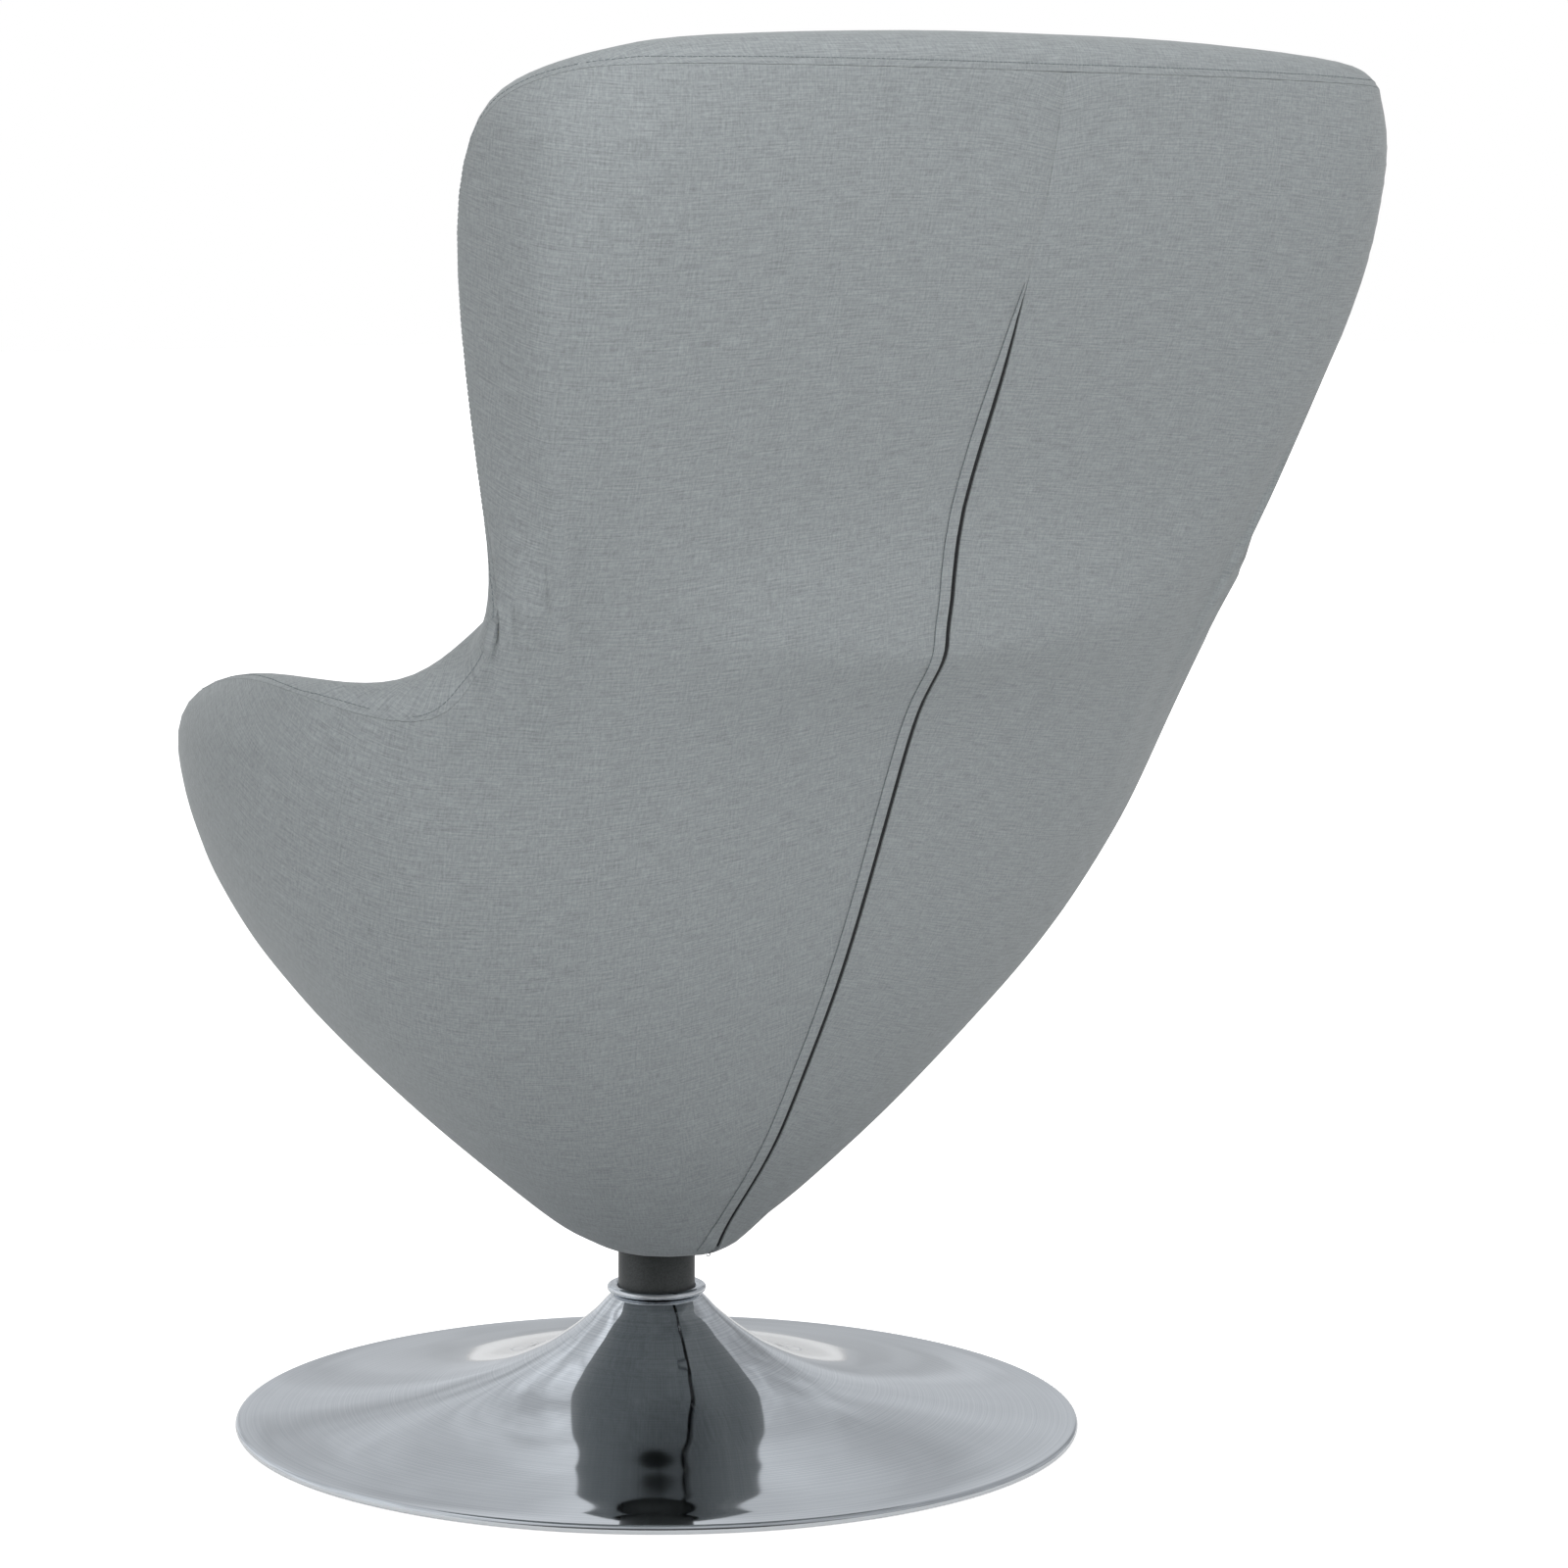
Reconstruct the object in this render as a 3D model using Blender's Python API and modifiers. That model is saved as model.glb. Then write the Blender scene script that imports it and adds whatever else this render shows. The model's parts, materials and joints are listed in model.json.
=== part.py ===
# Egg-shaped lounge chair on a turning trumpet base.
# Metres, +Z up. The origin is on the floor, on the swivel axis. The seat faces -Y.
# The sitter's left side is +X.
import bpy
import bmesh
import numpy as np
from math import atan2, cos, pi, radians, sin, sqrt
from mathutils import Matrix

# Clearances
GAP = 0.0003                 # left between pieces that touch
SEAM_GAP = 0.0006            # left at the seam, on either side of its line
OVERRUN = 0.002              # how far a cutter passes the face that it cuts
TURNING_CLEARANCE = 0.0045   # around the column where the seat turns

# Shell: overall sizes of the upholstered egg
SHELL_UNDERSIDE = 0.140      # height of the shell's flat underside
SHELL_RISE = 0.905           # from the underside to the top of the head
SHELL_HALF_WIDTH = 0.414
REAR_DEPTH = 0.441           # from the swivel axis to the rear of the head
FRONT_DEPTH = 0.290          # from the swivel axis to the front of the arms

# Layers of the shell, from outside to inside
COVER_THICKNESS = 0.006      # cloth with its backing foam
CORE_THICKNESS = 0.006       # glass fibre laminate
PAD_THICKNESS = 0.0371       # moulded foam
LINING_THICKNESS = 0.004     # inner cloth with its backing foam
ROLL_RISE = 0.021            # how far the padded edge stands above the seam
DECK_HEIGHT = 0.320          # flat deck inside the bowl, under the cushion
FOOTWELL_HEIGHT = 0.0145     # hollow under the foam, above the core's floor

# Lumbar step across the back
STEP_DEPTH = 0.017
STEP_HEIGHT = 0.628          # above the floor
STEP_SPREAD = 0.030
STEP_HALF_WIDTH = 0.240

# Zip down the middle of the back
SLOT_HALF_WIDTH = 0.0032
CHAIN_WIDTH = 0.0056
CHAIN_THICKNESS = 0.0011
SLIDER_WIDTH = 0.0050
SLIDER_LENGTH = 0.0080
SLIDER_THICKNESS = 0.0016
SLIDER_DEPTH = 0.0008        # of its middle, below the arc
SLIDER_HEIGHT = 0.150        # of its middle, above the floor, at the closed end
ZIP_ARC_RADIUS = 0.916       # the cloth's face along the lower run of the zip is close to this
EYE_RADIUS = 0.0015
EYE_WIRE_RADIUS = 0.0005
PULL_RADIUS = 0.0019
PULL_WIRE_RADIUS = 0.0004

# Seat cushion
CUSHION_THICKNESS = 0.090    # at its edge
CUSHION_CROWN = 0.032        # how far the middle stands above the edge
CUSHION_MIDDLE = 0.010       # of its widest line, behind the swivel axis
CUSHION_SIDE_SPREAD = 0.075  # how much further out it is at its top
CUSHION_REAR_SPREAD = 0.036
CUSHION_FRONT_SPREAD = 0.044

# Base
BASE_RADIUS = 0.330
BASE_HEIGHT = 0.104          # top of the trumpet's neck
NECK_WALL = 0.004            # from the column to the outside of the neck
TRUMPET_WALL = 0.0015
RIM_BEAD_RADIUS = 0.0034
RIM_LIFT = 0.0010            # the bead hangs this far above the floor
RING_WIRE_RADIUS = 0.0032
FLOOR_PAD_THICKNESS = 0.0020
FLOOR_PAD_INSET = 0.010
BASE_PLATE_THICKNESS = 0.0045
BASE_PLATE_INSET = 0.021
BASE_PLATE_RAISE = 0.0120    # of its middle, so that the bolt head fits below
BASE_PLATE_RAISED_RADIUS = 0.045

# Column and swivel
COLUMN_RADIUS = 0.030
COLUMN_WALL = 0.0020
COLUMN_ABOVE_UNDERSIDE = 0.0115
PLUG_LENGTH = 0.018
BASE_BOLT_RADIUS = 0.006
BASE_BOLT_HEAD_HEIGHT = 0.0050
SPINDLE_RADIUS = 0.0246
SPINDLE_WALL = 0.0040
SPINDLE_LENGTH = 0.118
RUNNING_CLEARANCE = 0.0004   # between spindle and bushes
BUSH_LENGTH = 0.020
BUSH_FLANGE = 0.0024
THRUST_WASHER_THICKNESS = 0.0024
END_WASHER_THICKNESS = 0.0022
END_BOLT_RADIUS = 0.005
END_BOLT_HEAD_HEIGHT = 0.0045
BOSS_WALL = 0.0095
BOSS_HEIGHT = 0.0145
SEAT_PLATE_RADIUS = 0.066
SEAT_PLATE_THICKNESS = 0.006
SEAT_BOLT_RADIUS = 0.004
SEAT_BOLT_CIRCLE = 0.048
SEAT_BOLT_HEAD_HEIGHT = 0.0042
SEAT_BOLT_COUNT = 4
NUT_HEIGHT = 0.0050
NUT_FLANGE_RADIUS = 0.0105

# Counts
TURN_STEPS = 24
TRUMPET_STEPS = 44
BOLT_STEPS = 12
ROLL_STEPS = 5
BEAD_STEPS = 6
RING_STEPS = 8
RING_WIDTH_SHARE = 1.35      # the ring's section is wider than it is high
SECTION_POINTS = 241

# Sections of the egg, from the underside up. Each row: height as a share of SHELL_RISE,
# half width as a share of SHELL_HALF_WIDTH, middle and rear as shares of REAR_DEPTH, front as
# a share of FRONT_DEPTH, then how square the rear and the front of the section are, where
# 2 is an ellipse.
SECTION_SHARES = (
    (0.003, 0.106, 0.005, 0.133, -0.138, 2.0, 2.0),
    (0.011, 0.145, 0.014, 0.152, -0.179, 2.0, 2.0),
    (0.025, 0.203, 0.018, 0.177, -0.237, 2.0, 2.0),
    (0.044, 0.261, 0.023, 0.208, -0.297, 2.1, 2.0),
    (0.099, 0.415, 0.041, 0.296, -0.459, 2.2, 2.0),
    (0.177, 0.614, 0.063, 0.388, -0.666, 2.3, 2.0),
    (0.265, 0.802, 0.082, 0.481, -0.869, 2.4, 2.0),
    (0.354, 0.932, 0.095, 0.556, -1.000, 2.5, 2.0),
    (0.431, 0.995, 0.118, 0.617, -1.000, 2.6, 2.1),
    (0.497, 1.000, 0.209, 0.667, -0.793, 2.6, 2.2),
    (0.541, 0.935, 0.381, 0.692, -0.207, 2.9, 2.4),
    (0.586, 0.886, 0.562, 0.719, 0.379, 3.5, 3.0),
    (0.652, 0.877, 0.639, 0.766, 0.690, 4.0, 3.8),
    (0.718, 0.920, 0.673, 0.823, 0.724, 4.2, 4.0),
    (0.785, 0.954, 0.696, 0.878, 0.741, 4.2, 4.0),
    (0.851, 0.978, 0.717, 0.927, 0.755, 4.2, 4.0),
    (0.917, 0.990, 0.730, 0.966, 0.766, 4.2, 4.0),
    (0.956, 0.983, 0.728, 0.982, 0.772, 4.1, 4.0),
    (0.978, 0.966, 0.721, 0.991, 0.772, 3.8, 4.0),
    (1.000, 0.942, 0.714, 1.000, 0.772, 3.5, 4.0),
)

# The seam that edges the shell, from the top of the head round the wing and the arm to the
# front of the seat: x as a share of SHELL_HALF_WIDTH, y as a share of REAR_DEPTH behind the
# axis or of FRONT_DEPTH in front of it, height as a share of SHELL_RISE.
SEAM_SHARES = (
    (0.000, 0.993, 0.991), (0.362, 0.989, 0.991), (0.604, 0.971, 0.990), (0.773, 0.934, 0.990),
    (0.874, 0.880, 0.987), (0.937, 0.798, 0.978), (0.971, 0.726, 0.961), (0.983, 0.653, 0.919),
    (0.971, 0.612, 0.851), (0.918, 0.599, 0.762), (0.874, 0.590, 0.685), (0.850, 0.590, 0.608),
    (0.879, 0.596, 0.547), (0.918, 0.558, 0.512), (0.959, 0.431, 0.499), (0.983, 0.227, 0.503),
    (0.983, 0.045, 0.508), (0.949, -0.155, 0.496), (0.882, -0.397, 0.451), (0.785, -0.603, 0.387),
    (0.664, -0.759, 0.320), (0.459, -0.862, 0.271), (0.242, -0.890, 0.252), (0.000, -0.897, 0.248),
)

# Where the net's lines lie: along the seam, from the top of the head to the front, and up
# each line, from the hub to the seam. At the waist the upper rows keep further from the seam
COLUMN_SHARES = (0, 0.07, 0.175, 0.21, 0.23, 0.255, 0.28, 0.325, 0.40, 0.45, 0.48, 0.51, 0.545,
                 0.60, 0.66, 0.71, 0.76, 0.82, 0.88, 0.94, 1)
LOWER_ROW_SHARES = (0, 0.015, 0.05, 0.10, 0.17, 0.25, 0.34, 0.43, 0.52, 0.57, 0.61, 0.65)
ROW_SHARES = LOWER_ROW_SHARES + (0.735, 0.80, 0.865, 0.91, 0.96, 1)
WAIST_ROW_SHARES = LOWER_ROW_SHARES + (0.68, 0.72, 0.77, 0.83, 0.915, 1)
WAIST_SPAN_SHARES = (0.34, 0.40, 0.60, 0.80)   # where the waist's rows begin, hold and end
ZIP_TOP_SHARE = 0.865        # the zip ends on this row
CHAIN_STOP_SHARE = 0.93      # of its last row that the teeth stop short of the slot's point
ZIP_ARC_ROW_SHARES = (0.10, 0.34)   # the zip's arc meets the cloth's face on these rows
WALL_ROW_SHARES = (0, 0.15, 0.3, 0.43, 0.56, 0.7, 0.85, 1)
DECK_RING_SHARES = (0.5, 0.85)
NET_COLUMNS = 24
NET_ROWS = 14
NET_STEPS = 300
EASE_WIDTH = 0.030           # where the net's lines are nearer than this, folds are eased most
ROLL_EASE_STEPS = 2
WALL_EASE_STEPS = 12
CREASE_EASE_STEPS = 6
WALL_FINE_ROWS = 41
SLANT_SHARE = 0.15           # how far the wall's lines slant behind the wings, to cross their fold
SLANT_END_SHARE = 0.66

# The shell's thickness, as a share of its thickness at the head: along the seam, given as
# (way from head to front, share), and at the foot of the bowl's inner wall
EDGE_THICKNESS_SHARES = ((0, 1), (0.6, 1), (0.8, 0.84), (1, 0.66))
WALL_THICKNESS_SHARE = 0.72

# Cushion rings from the middle of its underside to the middle of its top: how full the ring
# is, and its height as a share of the edge's thickness, where more than 1 goes into the crown
CUSHION_RING_SHARES = ((0.50, 0.0, 0.0), (0.93, 0.0, 0.0), (0.975, 0.12, 0.0), (1.0, 0.36, 0.0),
                       (1.0, 0.62, 0.0), (0.975, 0.86, 0.0), (0.90, 1.0, 0.10), (0.68, 1.0, 0.55),
                       (0.36, 1.0, 0.90))

# The cushion's underside: half its width as a share of the shell's, and its rear and its front
# edge as shares of the shell's depths
CUSHION_HALF_WIDTH_SHARE = 0.51
CUSHION_REAR_SHARE = 0.295
CUSHION_FRONT_SHARE = 0.541
CUSHION_COLUMNS = 16
CUSHION_REAR_SQUARE_SHARE = 2.4
CUSHION_FRONT_SQUARE_SHARE = 1.9

# Trumpet's outer side from neck to bead: radius as a share of the way from neck to bead, and
# height as a share of the way from bead to neck
TRUMPET_SHARES = ((0.0, 1.0), (0.022, 0.935), (0.047, 0.855), (0.080, 0.770), (0.130, 0.655),
                  (0.205, 0.515), (0.320, 0.365), (0.470, 0.240), (0.640, 0.148), (0.810, 0.082),
                  (0.940, 0.048))

# Worked out from the sizes above
FULL_THICKNESS = COVER_THICKNESS + CORE_THICKNESS + PAD_THICKNESS + LINING_THICKNESS + 3 * GAP
HUB_HOLE_RADIUS = COLUMN_RADIUS + TURNING_CLEARANCE
CORE_DEPTH = COVER_THICKNESS + GAP
PAD_DEPTH = CORE_DEPTH + CORE_THICKNESS + GAP
COLUMN_BORE = COLUMN_RADIUS - COLUMN_WALL
BASE_PLATE_BOTTOM = FLOOR_PAD_THICKNESS + GAP
COLUMN_BOTTOM = BASE_PLATE_BOTTOM + BASE_PLATE_RAISE + BASE_PLATE_THICKNESS + GAP
COLUMN_TOP = SHELL_UNDERSIDE + COLUMN_ABOVE_UNDERSIDE
WASHER_BOTTOM = COLUMN_TOP + GAP + BUSH_FLANGE + GAP
BOSS_BOTTOM = WASHER_BOTTOM + THRUST_WASHER_THICKNESS + GAP
SEAT_PLATE_BOTTOM = BOSS_BOTTOM + BOSS_HEIGHT
CORE_FLOOR = SEAT_PLATE_BOTTOM + SEAT_PLATE_THICKNESS + GAP
CORE_FLOOR_TOP = CORE_FLOOR + CORE_THICKNESS
SPINDLE_TOP = SEAT_PLATE_BOTTOM - GAP
SPINDLE_BOTTOM = SPINDLE_TOP - SPINDLE_LENGTH
BUSH_BORE = SPINDLE_RADIUS + RUNNING_CLEARANCE

parts = bpy.data.collections.new("egg_chair")
cutters = bpy.data.collections.new("cutters")


def start():
    """Empty the scene and add the two collections."""
    for old in list(bpy.data.objects):
        bpy.data.objects.remove(old, do_unlink=True)
    bpy.context.scene.collection.children.link(parts)
    bpy.context.scene.collection.children.link(cutters)


def material(name, colour, roughness, metallic=0.0):
    """A Principled material with one colour."""
    made = bpy.data.materials.new(name)
    made.use_nodes = True
    shader = made.node_tree.nodes["Principled BSDF"]
    shader.inputs["Base Color"].default_value = (*colour, 1.0)
    shader.inputs["Roughness"].default_value = roughness
    shader.inputs["Metallic"].default_value = metallic
    return made


def finish(obj, made, smooth_angle=40):
    """Give an object its material, shading and collection."""
    for home in list(obj.users_collection):
        home.objects.unlink(obj)
    parts.objects.link(obj)
    obj.data.materials.clear()
    obj.data.materials.append(made)
    obj.data.shade_smooth()
    obj.data.set_sharp_from_angle(angle=radians(smooth_angle))
    return obj


def turned(name, profile, made, steps=TURN_STEPS, closed=False, location=(0, 0, 0)):
    """Turn a profile of (radius, height) about the vertical axis.

    The profile runs down its outer side. An open profile starts and ends on the axis."""
    mesh = bpy.data.meshes.new(name)
    points = [(radius, 0.0, height) for radius, height in profile]
    edges = [(i, i + 1) for i in range(len(points) - 1)]
    if closed:
        edges.append((len(points) - 1, 0))
    mesh.from_pydata(points, edges, [])
    obj = bpy.data.objects.new(name, mesh)
    parts.objects.link(obj)
    obj.location = location
    screw = obj.modifiers.new("turn", "SCREW")
    screw.axis = "Z"
    screw.angle = 2 * pi
    screw.steps = steps
    screw.render_steps = steps
    screw.use_merge_vertices = True
    screw.merge_threshold = 0.00001
    screw.use_smooth_shade = True
    mesh.materials.append(made)
    return obj


def tube(name, outer, bore, bottom, top, made, steps=TURN_STEPS):
    """A turned ring or tube."""
    profile = [(bore, top), (outer, top), (outer, bottom), (bore, bottom)]
    return turned(name, profile, made, steps, closed=True)


def cut(obj, cutter):
    """Cut one solid out of another."""
    for home in list(cutter.users_collection):
        home.objects.unlink(cutter)
    cutters.objects.link(cutter)
    cutter.hide_render = True
    cutter.display_type = "WIRE"
    boolean = obj.modifiers.new("cut " + cutter.name, "BOOLEAN")
    boolean.operation = "DIFFERENCE"
    boolean.solver = "EXACT"
    boolean.object = cutter


def cylinder_cutter(name, radius, bottom, top, x, y):
    """An upright cylinder that cuts a bolt hole."""
    bpy.ops.mesh.primitive_cylinder_add(vertices=BOLT_STEPS, radius=radius, depth=top - bottom,
                                        location=(x, y, (top + bottom) / 2))
    obj = bpy.context.object
    obj.name = name
    return obj


# The egg's surface

def smooth_curve(stops, values):
    """A natural cubic spline through rows of values, as a function of the stops."""
    stops = np.asarray(stops, float)
    values = np.asarray(values, float)
    count = len(stops)
    steps = np.diff(stops)
    matrix = np.zeros((count, count))
    right = np.zeros_like(values)
    matrix[0, 0] = matrix[-1, -1] = 1
    for i in range(1, count - 1):
        matrix[i, i - 1] = steps[i - 1]
        matrix[i, i] = 2 * (steps[i - 1] + steps[i])
        matrix[i, i + 1] = steps[i]
        before = (values[i] - values[i - 1]) / steps[i - 1]
        after = (values[i + 1] - values[i]) / steps[i]
        right[i] = 6 * (after - before)
    bends = np.linalg.solve(matrix, right.reshape(count, -1)).reshape(values.shape)

    def at(query):
        query = np.asarray(query, float)
        i = np.clip(np.searchsorted(stops, query) - 1, 0, count - 2)
        shape = query.shape + (1,) * (values.ndim - 1)
        step = steps[i].reshape(shape)
        a = ((stops[i + 1] - query) / steps[i]).reshape(shape)
        b = ((query - stops[i]) / steps[i]).reshape(shape)
        bend = ((a ** 3 - a) * bends[i] + (b ** 3 - b) * bends[i + 1]) * step ** 2 / 6
        return a * values[i] + b * values[i + 1] + bend

    return at


def length_along(points):
    """Distance travelled along a line of points, or along each of many lines."""
    steps = np.linalg.norm(np.diff(points, axis=-2), axis=-1)
    return np.concatenate([np.zeros(steps.shape[:-1] + (1,)), np.cumsum(steps, axis=-1)], -1)


def make_sections():
    """The sections in metres: height, half width, middle, rear, front and two squarenesses."""
    rows = [(SHELL_UNDERSIDE, HUB_HOLE_RADIUS, 0, HUB_HOLE_RADIUS, -HUB_HOLE_RADIUS, 2.0, 2.0)]
    for height, width, middle, rear, front, rear_square, front_square in SECTION_SHARES:
        rows.append((SHELL_UNDERSIDE + height * SHELL_RISE, width * SHELL_HALF_WIDTH,
                     middle * REAR_DEPTH, rear * REAR_DEPTH, front * FRONT_DEPTH,
                     rear_square, front_square))
    return np.array(rows)


SECTIONS = make_sections()
# A level runs from 0 at the hub to 1 at the top of the head
SECTION_WAY = SECTIONS[:, :2] * np.array([1.0, 0.6])
SECTION_LEVELS = length_along(SECTION_WAY) / length_along(SECTION_WAY)[-1]
section_at = smooth_curve(SECTION_LEVELS, SECTIONS)
ANGLES = np.linspace(0, pi, SECTION_POINTS)


def outline(sections):
    """Half of each section's outline, from the rear middle round the +X side to the front."""
    sections = np.moveaxis(np.asarray(sections, float), -1, 0)[..., None]
    height, width, middle, rear, front, rear_square, front_square = sections
    across, along = np.sin(ANGLES), np.cos(ANGLES)
    square = np.where(along > 0, rear_square, front_square)
    reach = np.where(along > 0, rear - middle, middle - front)
    scale = (np.abs(across) ** square + np.abs(along) ** square) ** (-1 / square)
    return np.stack([width * across * scale, middle + reach * along * scale], -1)


LEVELS = np.linspace(0, 1, 401)
LEVEL_HEIGHTS = section_at(LEVELS)[:, 0]
GIRTHS = length_along(outline(section_at(LEVELS)))[:, -1]
RISES = length_along(section_at(LEVELS)[:, :2])


def body_points(turns, levels, stepped=True):
    """Points of the egg. A turn runs from 0 at the rear middle to 1 at the front middle."""
    turns = np.asarray(turns, float)
    rows = section_at(np.asarray(levels, float))
    lines = outline(rows)
    way = length_along(lines)
    goal = (turns * way[..., -1])[..., None]
    after = np.clip((way < goal).sum(-1, keepdims=True), 1, SECTION_POINTS - 1)
    start = np.take_along_axis(way, after - 1, -1)
    share = (goal - start) / (np.take_along_axis(way, after, -1) - start)
    first = np.take_along_axis(lines, after[..., None] - 1, -2)[..., 0, :]
    second = np.take_along_axis(lines, after[..., None], -2)[..., 0, :]
    points = np.concatenate([first + share * (second - first), rows[..., :1]], -1)
    if stepped:
        x, y, z = points[..., 0], points[..., 1], points[..., 2]
        bump = np.exp(-((z - STEP_HEIGHT) / STEP_SPREAD) ** 2)
        fade = np.exp(-(x / STEP_HALF_WIDTH) ** 4)
        points[..., 1] += (y > 0) * STEP_DEPTH * bump * fade
    return points


def body_normals(turns, levels, stepped=True, nudge=0.002):
    """Normals of the egg, pointing out."""
    before, after = np.clip(turns - nudge, 0, 1), np.clip(turns + nudge, 0, 1)
    under, over = np.clip(levels - nudge, 0, 1), np.clip(levels + nudge, 0, 1)
    around = body_points(after, levels, stepped) - body_points(before, levels, stepped)
    up = body_points(turns, over, stepped) - body_points(turns, under, stepped)
    normals = np.cross(up, around)
    normals[np.isclose(turns, 0) | np.isclose(turns, 1), 0] = 0
    return normals / np.linalg.norm(normals, axis=-1, keepdims=True)


def seam_line():
    """The seam as (turn, level) against its share of length, from the head to the front."""
    places = []
    for across, along, up in SEAM_SHARES:
        point = np.array([across * SHELL_HALF_WIDTH,
                          along * (REAR_DEPTH if along > 0 else FRONT_DEPTH)])
        level = np.interp(SHELL_UNDERSIDE + up * SHELL_RISE, LEVEL_HEIGHTS, LEVELS)
        line = outline(section_at(level))
        nearest = np.linalg.norm(line - point, axis=1).argmin()
        way = length_along(line)
        places.append((way[nearest] / way[-1], level))
    places[0] = (0.0, places[0][1])
    places[-1] = (1.0, places[-1][1])
    places = np.array(places)
    way = length_along(body_points(places[:, 0], places[:, 1]))
    return smooth_curve(way / way[-1], places)


def unroll(places):
    """(turn, level) to flat metres: girth across and rise up."""
    across = places[..., 0] * np.interp(places[..., 1], LEVELS, GIRTHS)
    return np.stack([across, np.interp(places[..., 1], LEVELS, RISES)], -1)


def roll_up(flat):
    """Flat metres back to (turn, level)."""
    level = np.interp(flat[..., 1], RISES, LEVELS)
    return np.stack([flat[..., 0] / np.interp(level, LEVELS, GIRTHS), level], -1)


def relaxed_net():
    """An even net of (turn, level) between the hub and the seam.

    It starts as straight lines and is relaxed until its lines cross squarely without folds."""
    shares = np.linspace(0, 1, NET_COLUMNS + 1)
    ends = seam_line()(shares)
    ends[0, 0], ends[-1, 0] = 0, 1
    up = np.linspace(0, 1, NET_ROWS + 1)[:, None, None]
    net = (1 - up) * unroll(np.stack([shares, 0 * shares], -1)) + up * unroll(ends)
    for _ in range(NET_STEPS):
        rear_twin = net[:, 1:2] * [-1, 1]
        front_twin = net[:, -2:-1].copy()
        girth = np.interp(front_twin[..., 1], RISES, GIRTHS)
        front_twin[..., 0] = 2 * girth - front_twin[..., 0]
        wide = np.concatenate([rear_twin, net, front_twin], 1)
        along = (wide[1:-1, 2:] - wide[1:-1, :-2]) / 2
        across = (wide[2:, 1:-1] - wide[:-2, 1:-1]) / 2
        a = (along * along).sum(-1, keepdims=True)
        b = (across * across).sum(-1, keepdims=True)
        c = (along * across).sum(-1, keepdims=True)
        twist = wide[2:, 2:] - wide[2:, :-2] - wide[:-2, 2:] + wide[:-2, :-2]
        beside = wide[1:-1, 2:] + wide[1:-1, :-2]
        above = wide[2:, 1:-1] + wide[:-2, 1:-1]
        net[1:-1] = (b * beside + a * above - 0.5 * c * twist) / (2 * (a + b))
        net[1:-1, 0, 0] = 0
        net[1:-1, -1, 0] = np.interp(net[1:-1, -1, 1], RISES, GIRTHS)
    even = np.empty_like(net)
    for column in range(net.shape[1]):
        way = length_along(net[:, column])
        even[:, column] = smooth_curve(way / way[-1], net[:, column])(up.ravel())
    return shares, up.ravel(), roll_up(even)


NET_SHARES, NET_UPS, NET = relaxed_net()


def net_places(ups, shares):
    """(turn, level) of the net at every pair of the two lists."""
    columns = smooth_curve(NET_SHARES, np.moveaxis(NET, 1, 0))(np.asarray(shares, float))
    places = smooth_curve(NET_UPS, np.moveaxis(columns, 1, 0))(np.asarray(ups, float))
    for column in (0, -1):
        places[:, column, 0] = shares[column]
    places[..., 1] = np.clip(places[..., 1], 0, 1)
    return places


def face_places():
    """(turn, level) of every point of the cloth's face, with the rows moved at the waist."""
    lines = []
    for column, moved in enumerate(np.interp(COLUMN_SHARES, WAIST_SPAN_SHARES, (0, 1, 1, 0))):
        rows = (1 - moved) * np.array(ROW_SHARES) + moved * np.array(WAIST_ROW_SHARES)
        lines.append(net_places(rows, COLUMN_SHARES)[:, column])
    return np.stack(lines, 1)


PLACES = face_places()
FACE = body_points(PLACES[..., 0], PLACES[..., 1])
NORMALS = body_normals(PLACES[..., 0], PLACES[..., 1])


def edge_directions():
    """At each seam point, the direction that leads on over the edge."""
    seam = FACE[-1]
    mirrored = np.concatenate([seam[1:2] * [-1, 1, 1], seam, seam[-2:-1] * [-1, 1, 1]])
    along = mirrored[2:] - mirrored[:-2]
    over = np.cross(NORMALS[-1], along)
    over[0, 0] = over[-1, 0] = 0
    over /= np.linalg.norm(over, axis=1, keepdims=True)
    if over[0, 2] < 0:
        over = -over
    return over


OVER = edge_directions()
COLUMN_SPACING = np.gradient(length_along(FACE[-1]))


def layer(depth, floor=None):
    """The net's points at a depth below the outside, kept above a floor."""
    points = FACE - depth * NORMALS
    if floor is not None:
        points[..., 2] = np.maximum(points[..., 2], floor)
    return points


def mirrored(rings):
    """Rings with one more column past each end, mirrored from the other half."""
    return np.concatenate([rings[:, 1:2] * [-1, 1, 1], rings, rings[:, -2:-1] * [-1, 1, 1]], 1)


def eased(rings, rounds, along=True):
    """Rings with tight folds pulled even. The first and the last ring stay.

    It pulls every point towards its neighbours in its ring and, if asked, in the rings
    before and after, and most where the net is narrow."""
    rings = np.array(rings)
    pull = np.clip((EASE_WIDTH / COLUMN_SPACING) ** 2, 0, 1)[:, None] / 2
    for _ in range(rounds):
        wide = mirrored(rings)
        goal = (wide[1:-1, 2:] + wide[1:-1, :-2]) / 2
        if along:
            goal = (goal + (rings[2:] + rings[:-2]) / 2) / 2
        rings[1:-1] += pull * (goal - rings[1:-1])
    return rings


def thickness(shares, ups):
    """The shell's whole thickness at seam shares, and at ways up from the deck to the seam."""
    stops, edge = np.array(EDGE_THICKNESS_SHARES).T
    edge = np.interp(shares, stops, edge)
    grown = ups * ups * (3 - 2 * ups)
    return FULL_THICKNESS * edge * (WALL_THICKNESS_SHARE + (1 - WALL_THICKNESS_SHARE) * grown)


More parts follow.
